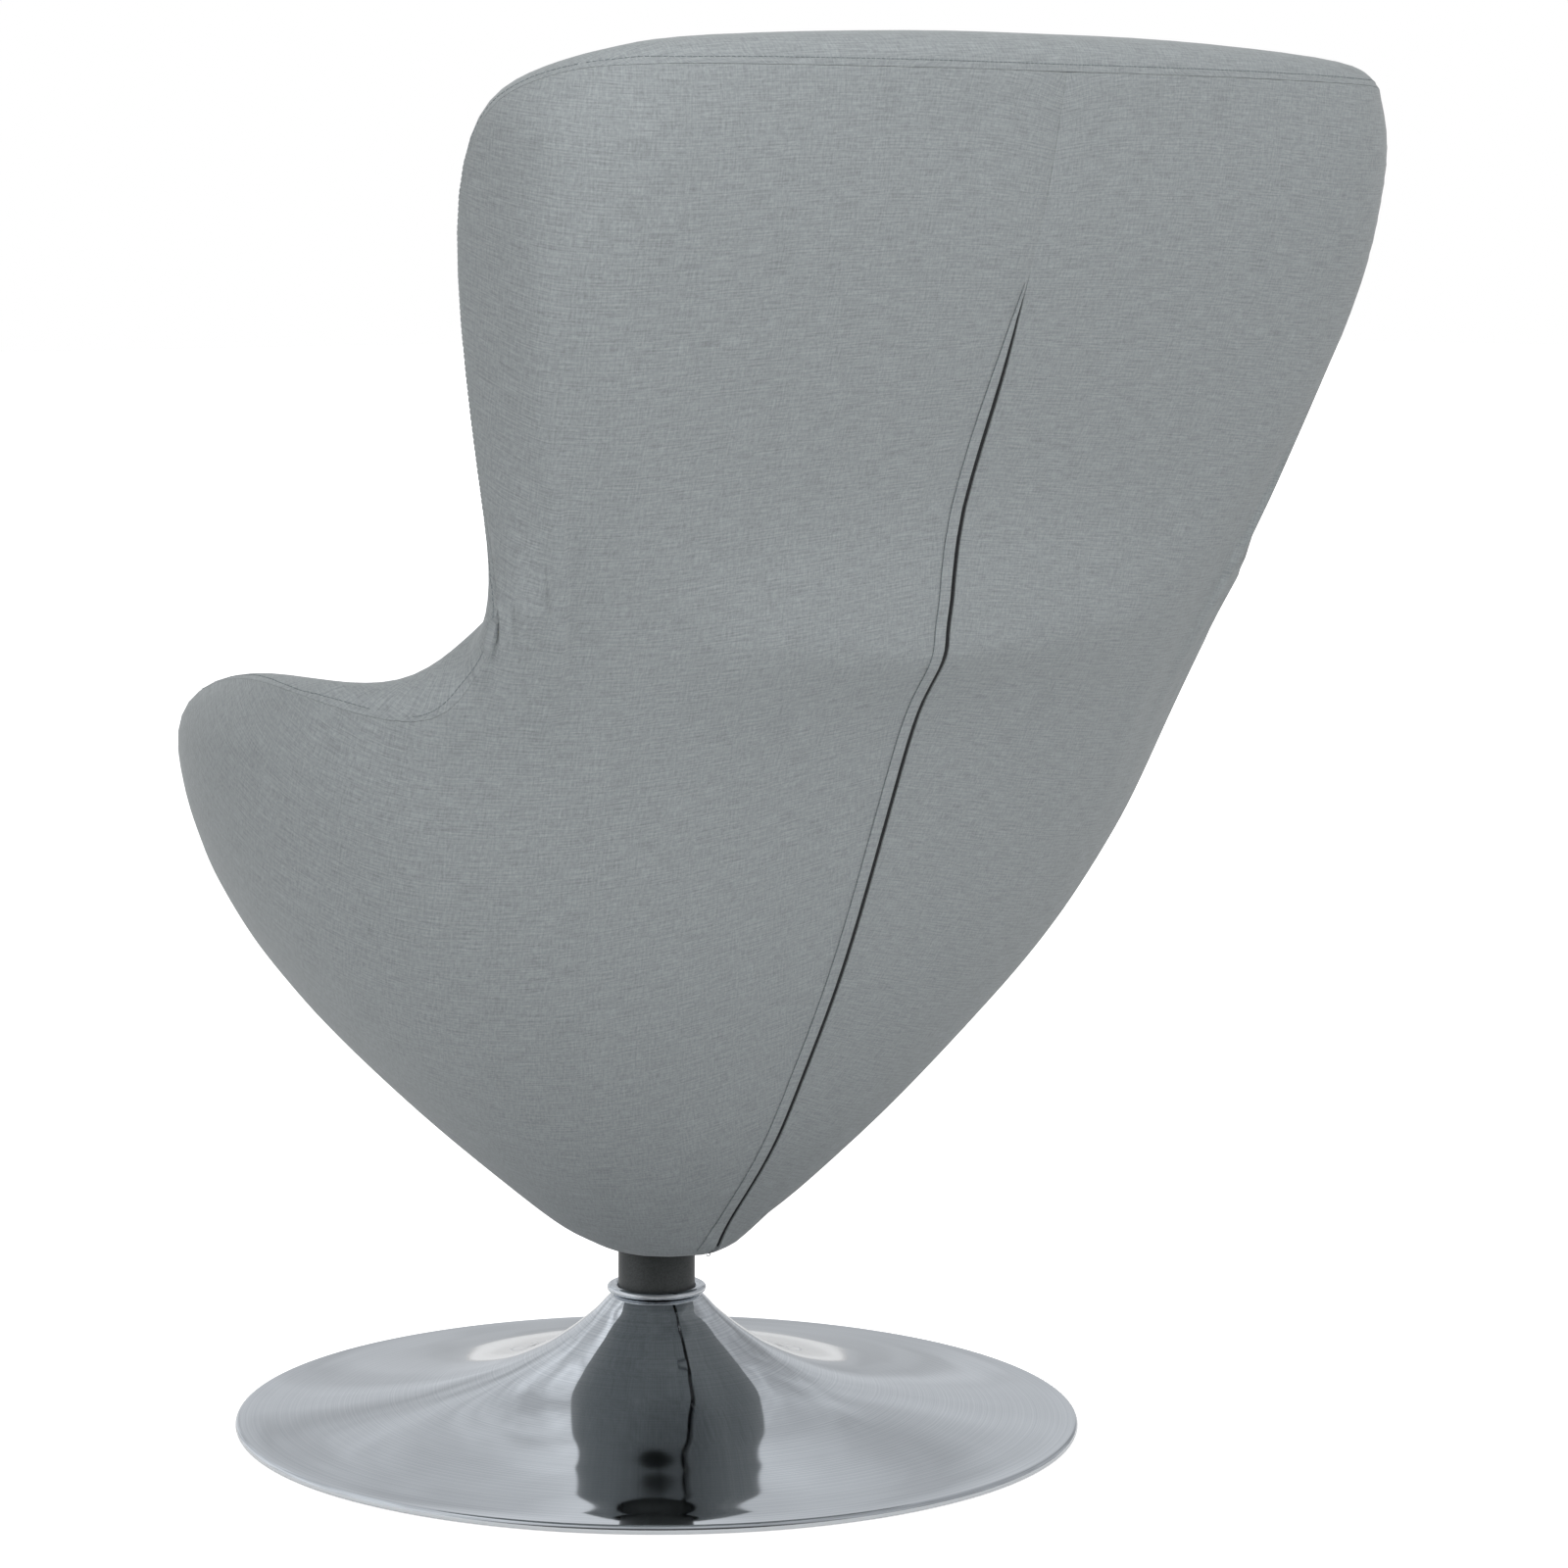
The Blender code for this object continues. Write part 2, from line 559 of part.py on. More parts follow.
def roll(inset):
    """Rings of the padded edge, inset from its outside, from outer to inner side."""
    half = thickness(np.array(COLUMN_SHARES), 1.0)[:, None] / 2
    middle = FACE[-1] - half * NORMALS[-1] + SEAM_GAP * OVER
    rise = ROLL_RISE * 2 * half / FULL_THICKNESS
    rings = []
    for step in range(ROLL_STEPS + 1):
        angle = pi * step / ROLL_STEPS
        out = (half - inset) * cos(angle) * NORMALS[-1]
        ring = middle + out + (rise - inset) * sin(angle) * OVER
        rounds = ROLL_EASE_STEPS * max(step - ROLL_STEPS // 2, 0)
        rings.append(eased([ring] * 3, rounds, along=False)[1])
    return rings


def inner_side(inset):
    """Rings of the bowl's inner side, over the edge and down to the deck, inset from its face."""
    edge = roll(inset)
    floor = DECK_HEIGHT - inset
    shares = np.array(COLUMN_SHARES)
    places = []
    for up in np.linspace(1, 0, WALL_FINE_ROWS):
        slant = SLANT_SHARE * (1 - up ** 4) * np.sin(pi * np.clip(shares / SLANT_END_SHARE, 0, 1)) ** 2
        places.append(net_places([up], shares - slant)[0])
    places = np.array(places)
    face = body_points(places[..., 0], places[..., 1], stepped=False)
    normals = body_normals(places[..., 0], places[..., 1], stepped=False)
    ups = np.clip((face[..., 2] - DECK_HEIGHT) / (face[0, :, 2] - DECK_HEIGHT), 0, 1)
    points = face - thickness(shares, ups)[..., None] * normals
    points[0] = roll(0)[-1]
    points = eased(points, WALL_EASE_STEPS, along=False)
    points = eased(points, CREASE_EASE_STEPS)
    back = eased(eased(normals, WALL_EASE_STEPS, along=False), CREASE_EASE_STEPS)
    points = points + inset * back / np.linalg.norm(back, axis=-1, keepdims=True)
    points[0] = edge[-1]
    walls = np.empty((len(WALL_ROW_SHARES), len(COLUMN_SHARES), 3))
    for column in range(len(COLUMN_SHARES)):
        line = points[:, column]
        under = np.where(line[:, 2] < floor)[0].min()
        part = (line[under - 1, 2] - floor) / (line[under - 1, 2] - line[under, 2])
        way = length_along(line)
        goal = way[under - 1] + part * (way[under] - way[under - 1])
        for axis in range(3):
            walls[:, column, axis] = np.interp(goal * np.array(WALL_ROW_SHARES), way, line[:, axis])
    deck, middle = deck_rings(walls[-1], floor)
    return edge + list(walls[1:]) + deck, middle


def deck_rings(edge, height):
    """Rings of the flat deck, from its edge inwards."""
    middle = (edge[0, 1] + edge[-1, 1]) / 2
    rings = []
    for share in sorted(DECK_RING_SHARES, reverse=True):
        ring = edge.copy()
        ring[:, 0] *= share
        ring[:, 1] = middle + (ring[:, 1] - middle) * share
        ring[:, 2] = height
        rings.append(ring)
    return rings, (0.0, middle, height)


def closed_ring(half):
    """A full ring from its +X half."""
    return np.concatenate([half, (half * [-1, 1, 1])[::-1][1:-1]])


def skin(build, rings, closed=True):
    """Faces between rings of equal count, joined in order."""
    rows = [[build.verts.new(point) for point in ring] for ring in rings]
    for below, above in zip(rows[:-1], rows[1:]):
        band(build, below, above, closed)
    return rows


def band(build, below, above, closed=True):
    """Triangles between two rows of points.

    Every layer is split along the same diagonals, mirrored on the -X side, so that the layers
    stay parallel where the surface twists."""
    count = len(below)
    for i in range(count if closed else count - 1):
        j = (i + 1) % count
        if closed and i >= count / 2:
            build.faces.new((below[i], below[j], above[i]))
            build.faces.new((below[j], above[j], above[i]))
        else:
            build.faces.new((below[i], below[j], above[j]))
            build.faces.new((below[i], above[j], above[i]))


def fan(build, ring, point):
    """Triangles that close a ring with one point."""
    tip = build.verts.new(point)
    for i in range(len(ring)):
        build.faces.new((ring[i], ring[(i + 1) % len(ring)], tip))


def loft(name, rings, first_tip, last_tip, made):
    """A closed solid through half rings and their mirror images, with a point at each end."""
    build = bmesh.new()
    rows = skin(build, [closed_ring(ring) for ring in rings])
    fan(build, rows[0], first_tip)
    fan(build, rows[-1], last_tip)
    return mesh_object(name, build, made)


def bowl(name, outer, inner, outer_tip, inner_tip, made, edge=0):
    """A closed solid between two skins that share an edge, their first or their last ring.

    At the other end each skin runs to its own point."""
    build = bmesh.new()
    outer = skin(build, [closed_ring(ring) for ring in outer])
    inner = skin(build, [closed_ring(ring) for ring in inner])
    band(build, inner[edge], outer[edge])
    fan(build, outer[-1 - edge], outer_tip)
    fan(build, inner[-1 - edge], inner_tip)
    return mesh_object(name, build, made)


def slab(name, outer, inner, made):
    """A closed plate between two grids of points of the same shape."""
    build = bmesh.new()
    outer = skin(build, outer, closed=False)
    inner = skin(build, inner, closed=False)
    for row in (0, -1):
        band(build, inner[row], outer[row], closed=False)
    for column in (0, -1):
        band(build, [row[column] for row in outer], [row[column] for row in inner], closed=False)
    return mesh_object(name, build, made)


def mesh_object(name, build, made):
    """Close a bmesh into an object with its faces pointing out."""
    bmesh.ops.recalc_face_normals(build, faces=build.faces[:])
    if build.calc_volume(signed=True) < 0:
        bmesh.ops.reverse_faces(build, faces=build.faces[:])
    mesh = bpy.data.meshes.new(name)
    build.to_mesh(mesh)
    build.free()
    obj = bpy.data.objects.new(name, mesh)
    parts.objects.link(obj)
    return finish(obj, made, smooth_angle=60)


# Pieces of the shell

def rear_cover(name, side, made):
    """One half of the outer cover, with its half of the zip's slot."""
    grids = []
    for depth in (0.0, COVER_THICKNESS):
        points = layer(depth)
        points[-1] -= SEAM_GAP * OVER
        for row, share in enumerate(ROW_SHARES):
            points[row, 0, 0] = SLOT_HALF_WIDTH if share < ZIP_TOP_SHARE else GAP / 2
        points[:, -1, 0] = GAP / 2
        grids.append(points * [side, 1, 1])
    return slab(name, grids[0], grids[1], made)


def core_shell(made):
    """The glass fibre shell, with a flat floor for the seat plate."""
    outside = layer(CORE_DEPTH, CORE_FLOOR)
    inside = layer(CORE_DEPTH + CORE_THICKNESS, CORE_FLOOR_TOP)
    obj = bowl("core_shell", outside, inside, (0, 0, CORE_FLOOR), (0, 0, CORE_FLOOR_TOP),
               made, edge=-1)
    for i, (x, y) in enumerate(seat_bolt_places()):
        hole = cylinder_cutter(f"core_hole_{i + 1}", SEAT_BOLT_RADIUS + GAP, CORE_FLOOR - OVERRUN,
                               CORE_FLOOR_TOP + OVERRUN, x, y)
        cut(obj, hole)
    return obj


def moulded_foam(made):
    """The foam between the core and the lining, with a hollow over the bolts."""
    bottom = CORE_FLOOR_TOP + FOOTWELL_HEIGHT
    outside = layer(PAD_DEPTH, bottom)
    over = SEAM_GAP * OVER
    outside[-1] += over
    inset = LINING_THICKNESS + GAP
    rings = list(outside)
    for cover in (CORE_DEPTH + CORE_THICKNESS, CORE_DEPTH):
        rings.append(layer(cover)[-1] + over)
    side, middle = inner_side(inset)
    return loft("moulded_foam", rings + side, (0, 0, bottom), middle, made)


def inner_lining(made):
    """The inner cover: over the edge, down the wall and across the deck."""
    face, face_middle = inner_side(0)
    back, back_middle = inner_side(LINING_THICKNESS)
    return bowl("inner_lining", face, back, face_middle, back_middle, made)


def zip_chain(made):
    """The closed row of teeth, in the slot between the cover's halves."""
    top = ROW_SHARES.index(ZIP_TOP_SHARE)
    rows = slice(1, top + 1)
    line, normals = FACE[rows, 0], NORMALS[rows, 0]
    inner_depth = COVER_THICKNESS - GAP
    outer_depth = inner_depth - CHAIN_THICKNESS
    grids = []
    for depth in (outer_depth, inner_depth):
        middle = line - depth * normals
        middle[-1] -= (middle[-1] - middle[-2]) * CHAIN_STOP_SHARE
        grids.append(np.stack([middle + [CHAIN_WIDTH / 2, 0, 0], middle - [CHAIN_WIDTH / 2, 0, 0]], 1))
    return slab("zip_chain", grids[0], grids[1], made)


def seat_cushion(made):
    """The loose cushion, crowned and drawn in at its edges, in the bowl."""
    bottom = DECK_HEIGHT + GAP
    rings = []
    for fullness, up, crown in CUSHION_RING_SHARES:
        height = bottom + up * CUSHION_THICKNESS + crown * CUSHION_CROWN
        section = (height,
                   CUSHION_HALF_WIDTH_SHARE * SHELL_HALF_WIDTH + up * CUSHION_SIDE_SPREAD,
                   CUSHION_MIDDLE,
                   CUSHION_REAR_SHARE * REAR_DEPTH + up * CUSHION_REAR_SPREAD,
                   -CUSHION_FRONT_SHARE * FRONT_DEPTH - up * CUSHION_FRONT_SPREAD,
                   CUSHION_REAR_SQUARE_SHARE, CUSHION_FRONT_SQUARE_SHARE)
        line = outline(section)
        way = length_along(line)
        ring = np.full((CUSHION_COLUMNS + 1, 3), height)
        for column in range(CUSHION_COLUMNS + 1):
            place = way[-1] * column / CUSHION_COLUMNS
            ring[column, 0] = fullness * np.interp(place, way, line[:, 0])
            y = np.interp(place, way, line[:, 1])
            ring[column, 1] = CUSHION_MIDDLE + fullness * (y - CUSHION_MIDDLE)
        rings.append(ring)
    top = bottom + CUSHION_THICKNESS + CUSHION_CROWN
    return loft("seat_cushion", rings, (0, CUSHION_MIDDLE, bottom), (0, CUSHION_MIDDLE, top), made)


# Pieces of the zip

def zip_arc_middle():
    """Where the zip's arc has its middle, in y and z: it passes through the zip on two rows."""
    low, high = (FACE[ROW_SHARES.index(share), 0, 1:] for share in ZIP_ARC_ROW_SHARES)
    half = (high - low) / 2
    size = np.hypot(half[0], half[1])
    ahead = np.array([-half[1], half[0]]) / size
    return low + half + sqrt(ZIP_ARC_RADIUS ** 2 - size ** 2) * ahead


def zip_slider(made):
    """The slider with the eye that its pull hangs in, at the closed end of the zip."""
    centre = bpy.data.objects.new("zip_arc_centre", None)
    parts.objects.link(centre)
    middle = zip_arc_middle()
    centre.location = (0, middle[0], middle[1])
    radius = ZIP_ARC_RADIUS - SLIDER_DEPTH
    drop = middle[1] - SLIDER_HEIGHT
    lean = atan2(drop, sqrt(radius ** 2 - drop ** 2))
    bpy.ops.mesh.primitive_cube_add(size=1)
    obj = bpy.context.object
    obj.name = obj.data.name = "zip_slider"
    obj.data.transform(Matrix.Diagonal((SLIDER_WIDTH, SLIDER_THICKNESS, SLIDER_LENGTH, 1)))
    bevel = obj.modifiers.new("soft edges", "BEVEL")
    bevel.width = SLIDER_THICKNESS / 5
    bevel.segments = 1
    eye_drop = SLIDER_LENGTH / 2 + EYE_RADIUS - EYE_WIRE_RADIUS / 2
    bpy.ops.mesh.primitive_torus_add(major_radius=EYE_RADIUS, minor_radius=EYE_WIRE_RADIUS,
                                     major_segments=16, minor_segments=6,
                                     rotation=(0, radians(90), 0))
    eye = bpy.context.object
    eye.name = "slider_eye"
    eye.data.transform(Matrix.Translation((0, 0, -eye_drop)) @ eye.rotation_euler.to_matrix().to_4x4())
    eye.rotation_euler = (0, 0, 0)
    finish(obj, made)
    join = obj.modifiers.new("eye", "BOOLEAN")
    join.operation = "UNION"
    join.solver = "EXACT"
    join.object = eye
    for home in list(eye.users_collection):
        home.objects.unlink(eye)
    cutters.objects.link(eye)
    eye.hide_render = True
    eye.display_type = "WIRE"
    spot = Matrix.Translation((0, radius * cos(lean), -radius * sin(lean)))
    turn = Matrix.Rotation(-lean, 4, "X")
    place = spot @ turn
    obj.data.transform(place)
    eye.data.transform(place)
    obj.parent = centre
    eye.parent = centre
    eye_local = place @ Matrix.Translation((0, 0, -eye_drop))
    return obj, centre, eye_local.translation


def zip_pull(made, centre, hung):
    """The small ring that hangs in the slider's eye. Its origin is in the eye."""
    bpy.ops.mesh.primitive_torus_add(major_radius=PULL_RADIUS, minor_radius=PULL_WIRE_RADIUS,
                                     major_segments=20, minor_segments=6,
                                     rotation=(radians(90), 0, 0))
    obj = bpy.context.object
    obj.name = obj.data.name = "zip_pull"
    obj.data.transform(Matrix.Translation((0, 0, -PULL_RADIUS)) @ obj.rotation_euler.to_matrix().to_4x4())
    obj.rotation_euler = (0, 0, 0)
    obj.location = hung
    obj.parent = centre
    return finish(obj, made)


# Pieces of the base and the swivel

def trumpet(made):
    """The spun trumpet with its rolled bead."""
    neck = COLUMN_RADIUS + NECK_WALL
    bead_height = RIM_LIFT + RIM_BEAD_RADIUS
    bead_radius = BASE_RADIUS - RIM_BEAD_RADIUS
    outside = [(neck + share * (bead_radius - neck), bead_height + up * (BASE_HEIGHT - bead_height))
               for share, up in TRUMPET_SHARES]
    bead = []
    for step in range(BEAD_STEPS):
        angle = radians(100 - 250 * step / (BEAD_STEPS - 1))
        bead.append((bead_radius + RIM_BEAD_RADIUS * cos(angle),
                     bead_height + RIM_BEAD_RADIUS * sin(angle)))
    line = np.array(outside)
    along = np.gradient(line, axis=0)
    across = np.stack([along[:, 1], -along[:, 0]], -1)
    across /= np.linalg.norm(across, axis=1, keepdims=True)
    inside = [tuple(point) for point in (line + TRUMPET_WALL * across)[::-1]]
    inside[-1] = (neck - TRUMPET_WALL, BASE_HEIGHT)
    return turned("trumpet", outside + bead + inside, made, TRUMPET_STEPS, closed=True)


def neck_ring(made):
    """The bright ring round the column on top of the trumpet."""
    ring_radius = COLUMN_RADIUS + GAP + RING_WIRE_RADIUS
    height = BASE_HEIGHT + GAP + RING_WIRE_RADIUS
    profile = []
    for step in range(RING_STEPS):
        angle = pi / 2 - 2 * pi * step / RING_STEPS
        profile.append((ring_radius + RING_WIDTH_SHARE * RING_WIRE_RADIUS * cos(angle)
                        + (RING_WIDTH_SHARE - 1) * RING_WIRE_RADIUS,
                        height + RING_WIRE_RADIUS * sin(angle)))
    return turned("neck_ring", profile, made, TRUMPET_STEPS, closed=True)


def base_plate(made):
    """The steel plate that weighs the base down, raised in the middle over the bolt head."""
    edge = BASE_RADIUS - BASE_PLATE_INSET
    low, top = BASE_PLATE_BOTTOM, BASE_PLATE_BOTTOM + BASE_PLATE_THICKNESS
    raised = BASE_PLATE_RAISED_RADIUS
    bore = BASE_BOLT_RADIUS + GAP
    up = BASE_PLATE_RAISE
    profile = [(bore, top + up), (raised, top + up), (raised + up, top), (edge, top), (edge, low),
               (raised + up - BASE_PLATE_THICKNESS, low),
               (raised - BASE_PLATE_THICKNESS, low + up), (bore, low + up)]
    return turned("base_plate", profile, made, TRUMPET_STEPS, closed=True)


def screw(name, radius, head_radius, head_height, length, underside, made, x=0.0, y=0.0):
    """A screw that points up, with a socket in its head. Its head's top face is at underside."""
    socket = radius / 2
    deep = head_height * 0.6
    low = underside - head_height
    profile = [(0, underside + length), (radius, underside + length), (radius, underside),
               (head_radius, underside), (head_radius, low), (socket, low), (socket, low + deep),
               (0, low + deep)]
    return turned(name, profile, made, BOLT_STEPS, location=(x, y, 0))


def seat_bolt_places():
    """Where the seat plate is bolted to the shell."""
    places = []
    for i in range(SEAT_BOLT_COUNT):
        angle = 2 * pi * (i + 0.5) / SEAT_BOLT_COUNT
        places.append((SEAT_BOLT_CIRCLE * cos(angle), SEAT_BOLT_CIRCLE * sin(angle)))
    return places


def seat_plate(made):
    """The swivel plate with the boss that holds the spindle."""
    boss = SPINDLE_RADIUS + GAP + BOSS_WALL
    bore = SPINDLE_RADIUS + GAP
    top = SEAT_PLATE_BOTTOM + SEAT_PLATE_THICKNESS
    profile = [(0, top), (SEAT_PLATE_RADIUS, top), (SEAT_PLATE_RADIUS, SEAT_PLATE_BOTTOM),
               (boss, SEAT_PLATE_BOTTOM), (boss, BOSS_BOTTOM), (bore, BOSS_BOTTOM),
               (bore, SEAT_PLATE_BOTTOM), (0, SEAT_PLATE_BOTTOM)]
    obj = turned("seat_plate", profile, made)
    for i, (x, y) in enumerate(seat_bolt_places()):
        hole = cylinder_cutter(f"plate_hole_{i + 1}", SEAT_BOLT_RADIUS + GAP,
                               SEAT_PLATE_BOTTOM - OVERRUN, top + OVERRUN, x, y)
        cut(obj, hole)
    return obj


def swivel(steel, black, plastic):
    """Column, bushes, spindle and what holds them."""
    tube("column_tube", COLUMN_RADIUS, COLUMN_BORE, COLUMN_BOTTOM, COLUMN_TOP, black, TRUMPET_STEPS)
    plug_top = COLUMN_BOTTOM + PLUG_LENGTH
    tube("column_plug", COLUMN_BORE - GAP, BASE_BOLT_RADIUS + GAP, COLUMN_BOTTOM, plug_top, steel)
    washer_top = BASE_PLATE_BOTTOM + BASE_PLATE_RAISE - GAP
    washer_bottom = washer_top - END_WASHER_THICKNESS
    tube("base_washer", 2 * BASE_BOLT_RADIUS, BASE_BOLT_RADIUS + GAP, washer_bottom, washer_top, steel)
    underside = washer_bottom - GAP
    screw("base_bolt", BASE_BOLT_RADIUS, 1.6 * BASE_BOLT_RADIUS, BASE_BOLT_HEAD_HEIGHT,
          plug_top - GAP - underside, underside, steel)
    bore = BUSH_BORE
    outer = COLUMN_BORE - GAP
    flange = [(bore, COLUMN_TOP + GAP + BUSH_FLANGE), (COLUMN_RADIUS, COLUMN_TOP + GAP + BUSH_FLANGE),
              (COLUMN_RADIUS, COLUMN_TOP + GAP), (outer, COLUMN_TOP + GAP),
              (outer, COLUMN_TOP - BUSH_LENGTH), (bore, COLUMN_TOP - BUSH_LENGTH)]
    turned("upper_bush", flange, plastic, closed=True)
    lower = SPINDLE_BOTTOM + GAP
    tube("lower_bush", outer, bore, lower, lower + BUSH_LENGTH, plastic)
    tube("thrust_washer", COLUMN_RADIUS, bore, WASHER_BOTTOM,
         WASHER_BOTTOM + THRUST_WASHER_THICKNESS, plastic)
    hollow = SPINDLE_RADIUS - SPINDLE_WALL
    web = SPINDLE_BOTTOM + SPINDLE_RADIUS
    thread = END_BOLT_RADIUS + GAP
    profile = [(hollow, SPINDLE_TOP), (SPINDLE_RADIUS, SPINDLE_TOP), (SPINDLE_RADIUS, SPINDLE_BOTTOM),
               (thread, SPINDLE_BOTTOM), (thread, web), (hollow, web)]
    turned("spindle", profile, steel, closed=True)
    washer_top = SPINDLE_BOTTOM - GAP
    washer_bottom = washer_top - END_WASHER_THICKNESS
    tube("spindle_washer", COLUMN_BORE - 2 * RUNNING_CLEARANCE, thread, washer_bottom, washer_top, steel)
    underside = washer_bottom - GAP
    screw("spindle_bolt", END_BOLT_RADIUS, 1.7 * END_BOLT_RADIUS, END_BOLT_HEAD_HEIGHT,
          web - GAP - underside, underside, steel)


def seat_fixings(steel):
    """Bolts up through the seat plate and the shell's floor, into flanged nuts."""
    underside = SEAT_PLATE_BOTTOM - GAP
    nut_bottom = CORE_FLOOR_TOP + GAP
    nut_top = nut_bottom + NUT_HEIGHT
    bore = SEAT_BOLT_RADIUS + GAP
    barrel = bore + SEAT_BOLT_RADIUS / 2
    flange_top = nut_bottom + NUT_HEIGHT / 3
    for i, (x, y) in enumerate(seat_bolt_places()):
        screw(f"seat_bolt_{i + 1}", SEAT_BOLT_RADIUS, 1.7 * SEAT_BOLT_RADIUS, SEAT_BOLT_HEAD_HEIGHT,
              nut_top + GAP - underside, underside, steel, x, y)
        profile = [(bore, nut_top), (barrel, nut_top), (barrel, flange_top),
                   (NUT_FLANGE_RADIUS, flange_top), (NUT_FLANGE_RADIUS, nut_bottom), (bore, nut_bottom)]
        turned(f"shell_nut_{i + 1}", profile, steel, BOLT_STEPS, closed=True, location=(x, y, 0))


def build_chair():
    """Every piece of the chair."""
    start()
    cloth = material("grey_linen_cloth", (0.28, 0.32, 0.34), 0.9)
    laminate = material("glass_fibre_laminate", (0.55, 0.53, 0.42), 0.5)
    foam = material("moulded_foam_grey", (0.75, 0.72, 0.62), 0.95)
    nylon = material("black_zip_nylon", (0.01, 0.01, 0.012), 0.5)
    chrome = material("bright_chrome", (0.75, 0.76, 0.78), 0.05, 1.0)
    steel = material("zinc_steel", (0.6, 0.6, 0.6), 0.35, 1.0)
    black = material("satin_black_steel", (0.03, 0.032, 0.032), 0.4, 0.3)
    plastic = material("white_bearing_plastic", (0.8, 0.8, 0.78), 0.4)
    felt = material("black_felt", (0.02, 0.02, 0.02), 0.95)

    pad = [(0, FLOOR_PAD_THICKNESS), (BASE_RADIUS - FLOOR_PAD_INSET, FLOOR_PAD_THICKNESS),
           (BASE_RADIUS - FLOOR_PAD_INSET, 0), (0, 0)]
    turned("floor_pad", pad, felt, TRUMPET_STEPS)
    base_plate(steel)
    trumpet(chrome)
    neck_ring(chrome)
    swivel(steel, black, plastic)
    seat_plate(black)
    seat_fixings(steel)
    core_shell(laminate)
    moulded_foam(foam)
    inner_lining(cloth)
    rear_cover("rear_cover_left", 1, cloth)
    rear_cover("rear_cover_right", -1, cloth)
    zip_chain(nylon)
    seat_cushion(cloth)
    slider, centre, hung = zip_slider(nylon)
    zip_pull(steel, centre, hung)


build_chair()
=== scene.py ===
# %% [markdown]
# # An egg chair in grey cloth on a bright trumpet base
# The chair stands in a white studio and shows its back. Its hard shell, its swivel and its base
# come from a measured model, which is loaded first and never moved. This lesson adds what the eye
# wants: sewn cloth with a weave, seams, a zip, a stuffed cushion, bright spun metal, a studio.

# %% Load the measured model
import json
from math import cos, exp, pi, radians, sin

import bmesh
import bpy
import numpy as np
from mathutils import Matrix, Vector
from mathutils.bvhtree import BVHTree


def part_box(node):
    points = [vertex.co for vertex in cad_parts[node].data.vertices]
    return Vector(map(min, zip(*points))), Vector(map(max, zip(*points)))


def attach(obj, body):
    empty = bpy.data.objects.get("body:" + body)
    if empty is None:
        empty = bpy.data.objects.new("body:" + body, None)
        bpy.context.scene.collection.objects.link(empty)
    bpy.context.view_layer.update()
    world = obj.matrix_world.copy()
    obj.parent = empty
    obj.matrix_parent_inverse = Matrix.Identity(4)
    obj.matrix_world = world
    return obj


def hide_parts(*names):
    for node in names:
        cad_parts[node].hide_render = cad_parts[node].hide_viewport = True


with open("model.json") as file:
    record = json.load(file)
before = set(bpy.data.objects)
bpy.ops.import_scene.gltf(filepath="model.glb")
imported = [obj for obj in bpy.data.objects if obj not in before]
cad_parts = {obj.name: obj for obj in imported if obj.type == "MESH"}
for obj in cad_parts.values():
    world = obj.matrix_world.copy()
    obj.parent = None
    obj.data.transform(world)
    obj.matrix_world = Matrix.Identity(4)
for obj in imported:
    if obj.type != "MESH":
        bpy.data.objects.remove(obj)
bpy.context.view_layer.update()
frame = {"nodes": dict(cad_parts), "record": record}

# %% [markdown]
# ## The camera
# The photograph was taken from behind, 140 degrees round from the front and a little above, with
# a long lens from 3.6 m. The chair stands left of the middle, so the lens is shifted.

# %% Camera
PHOTO_WIDTH = 1600
FOCAL_PIXELS = 4725
CENTRE_PIXEL = 670
AIM_HEIGHT = 0.504
DISTANCE = 3.583
azimuth, elevation = radians(140), radians(6.7)
back = Vector((sin(azimuth) * cos(elevation), -cos(azimuth) * cos(elevation), sin(elevation)))
lens = bpy.data.cameras.new("photo_camera")
lens.lens = FOCAL_PIXELS * lens.sensor_width / PHOTO_WIDTH
lens.shift_x = (PHOTO_WIDTH / 2 - CENTRE_PIXEL) / PHOTO_WIDTH
camera = bpy.data.objects.new("photo_camera", lens)
camera.location = Vector((0, 0, AIM_HEIGHT)) + DISTANCE * back
camera.rotation_mode = "QUATERNION"
camera.rotation_quaternion = (-back).to_track_quat("-Z", "Y")
bpy.context.scene.collection.objects.link(camera)
bpy.context.scene.camera = camera
bpy.context.scene.view_settings.view_transform = "Standard"
print("lens:", round(lens.lens, 1), "mm, at", [round(value, 2) for value in camera.location])

# %% [markdown]
# ## Small helpers for materials
# A colour picked from a picture is an sRGB code, and Blender wants it linear.

# %% Colour


def colour(code):
    """An sRGB hex code as a linear colour."""
    parts = [int(code[i:i + 2], 16) / 255 for i in (1, 3, 5)]
    return tuple(p / 12.92 if p <= 0.04045 else ((p + 0.055) / 1.055) ** 2.4 for p in parts) + (1,)


print("middle grey in linear light:", round(colour("#808080")[0], 3))

# %% [markdown]
# A material is a chain of nodes, so one function adds a node, sets its values and joins its inputs.
# Most of this chair's hard finishes have two close tones in a grain of a real size, so one function
# makes them.

# %% Nodes and finishes


def add_node(tree, kind, settings=None, **inputs):
    """Adds a node. Inputs are values or another node's output, by socket name or number."""
    node = tree.nodes.new(kind)
    for name, value in (settings or {}).items():
        setattr(node, name, value)
    for name, value in inputs.items():
        socket = node.inputs[int(name[1:]) if name[0] == "_" else name.replace("_", " ")]
        if isinstance(value, bpy.types.NodeSocket):
            tree.links.new(value, socket)
        else:
            socket.default_value = value
    return node


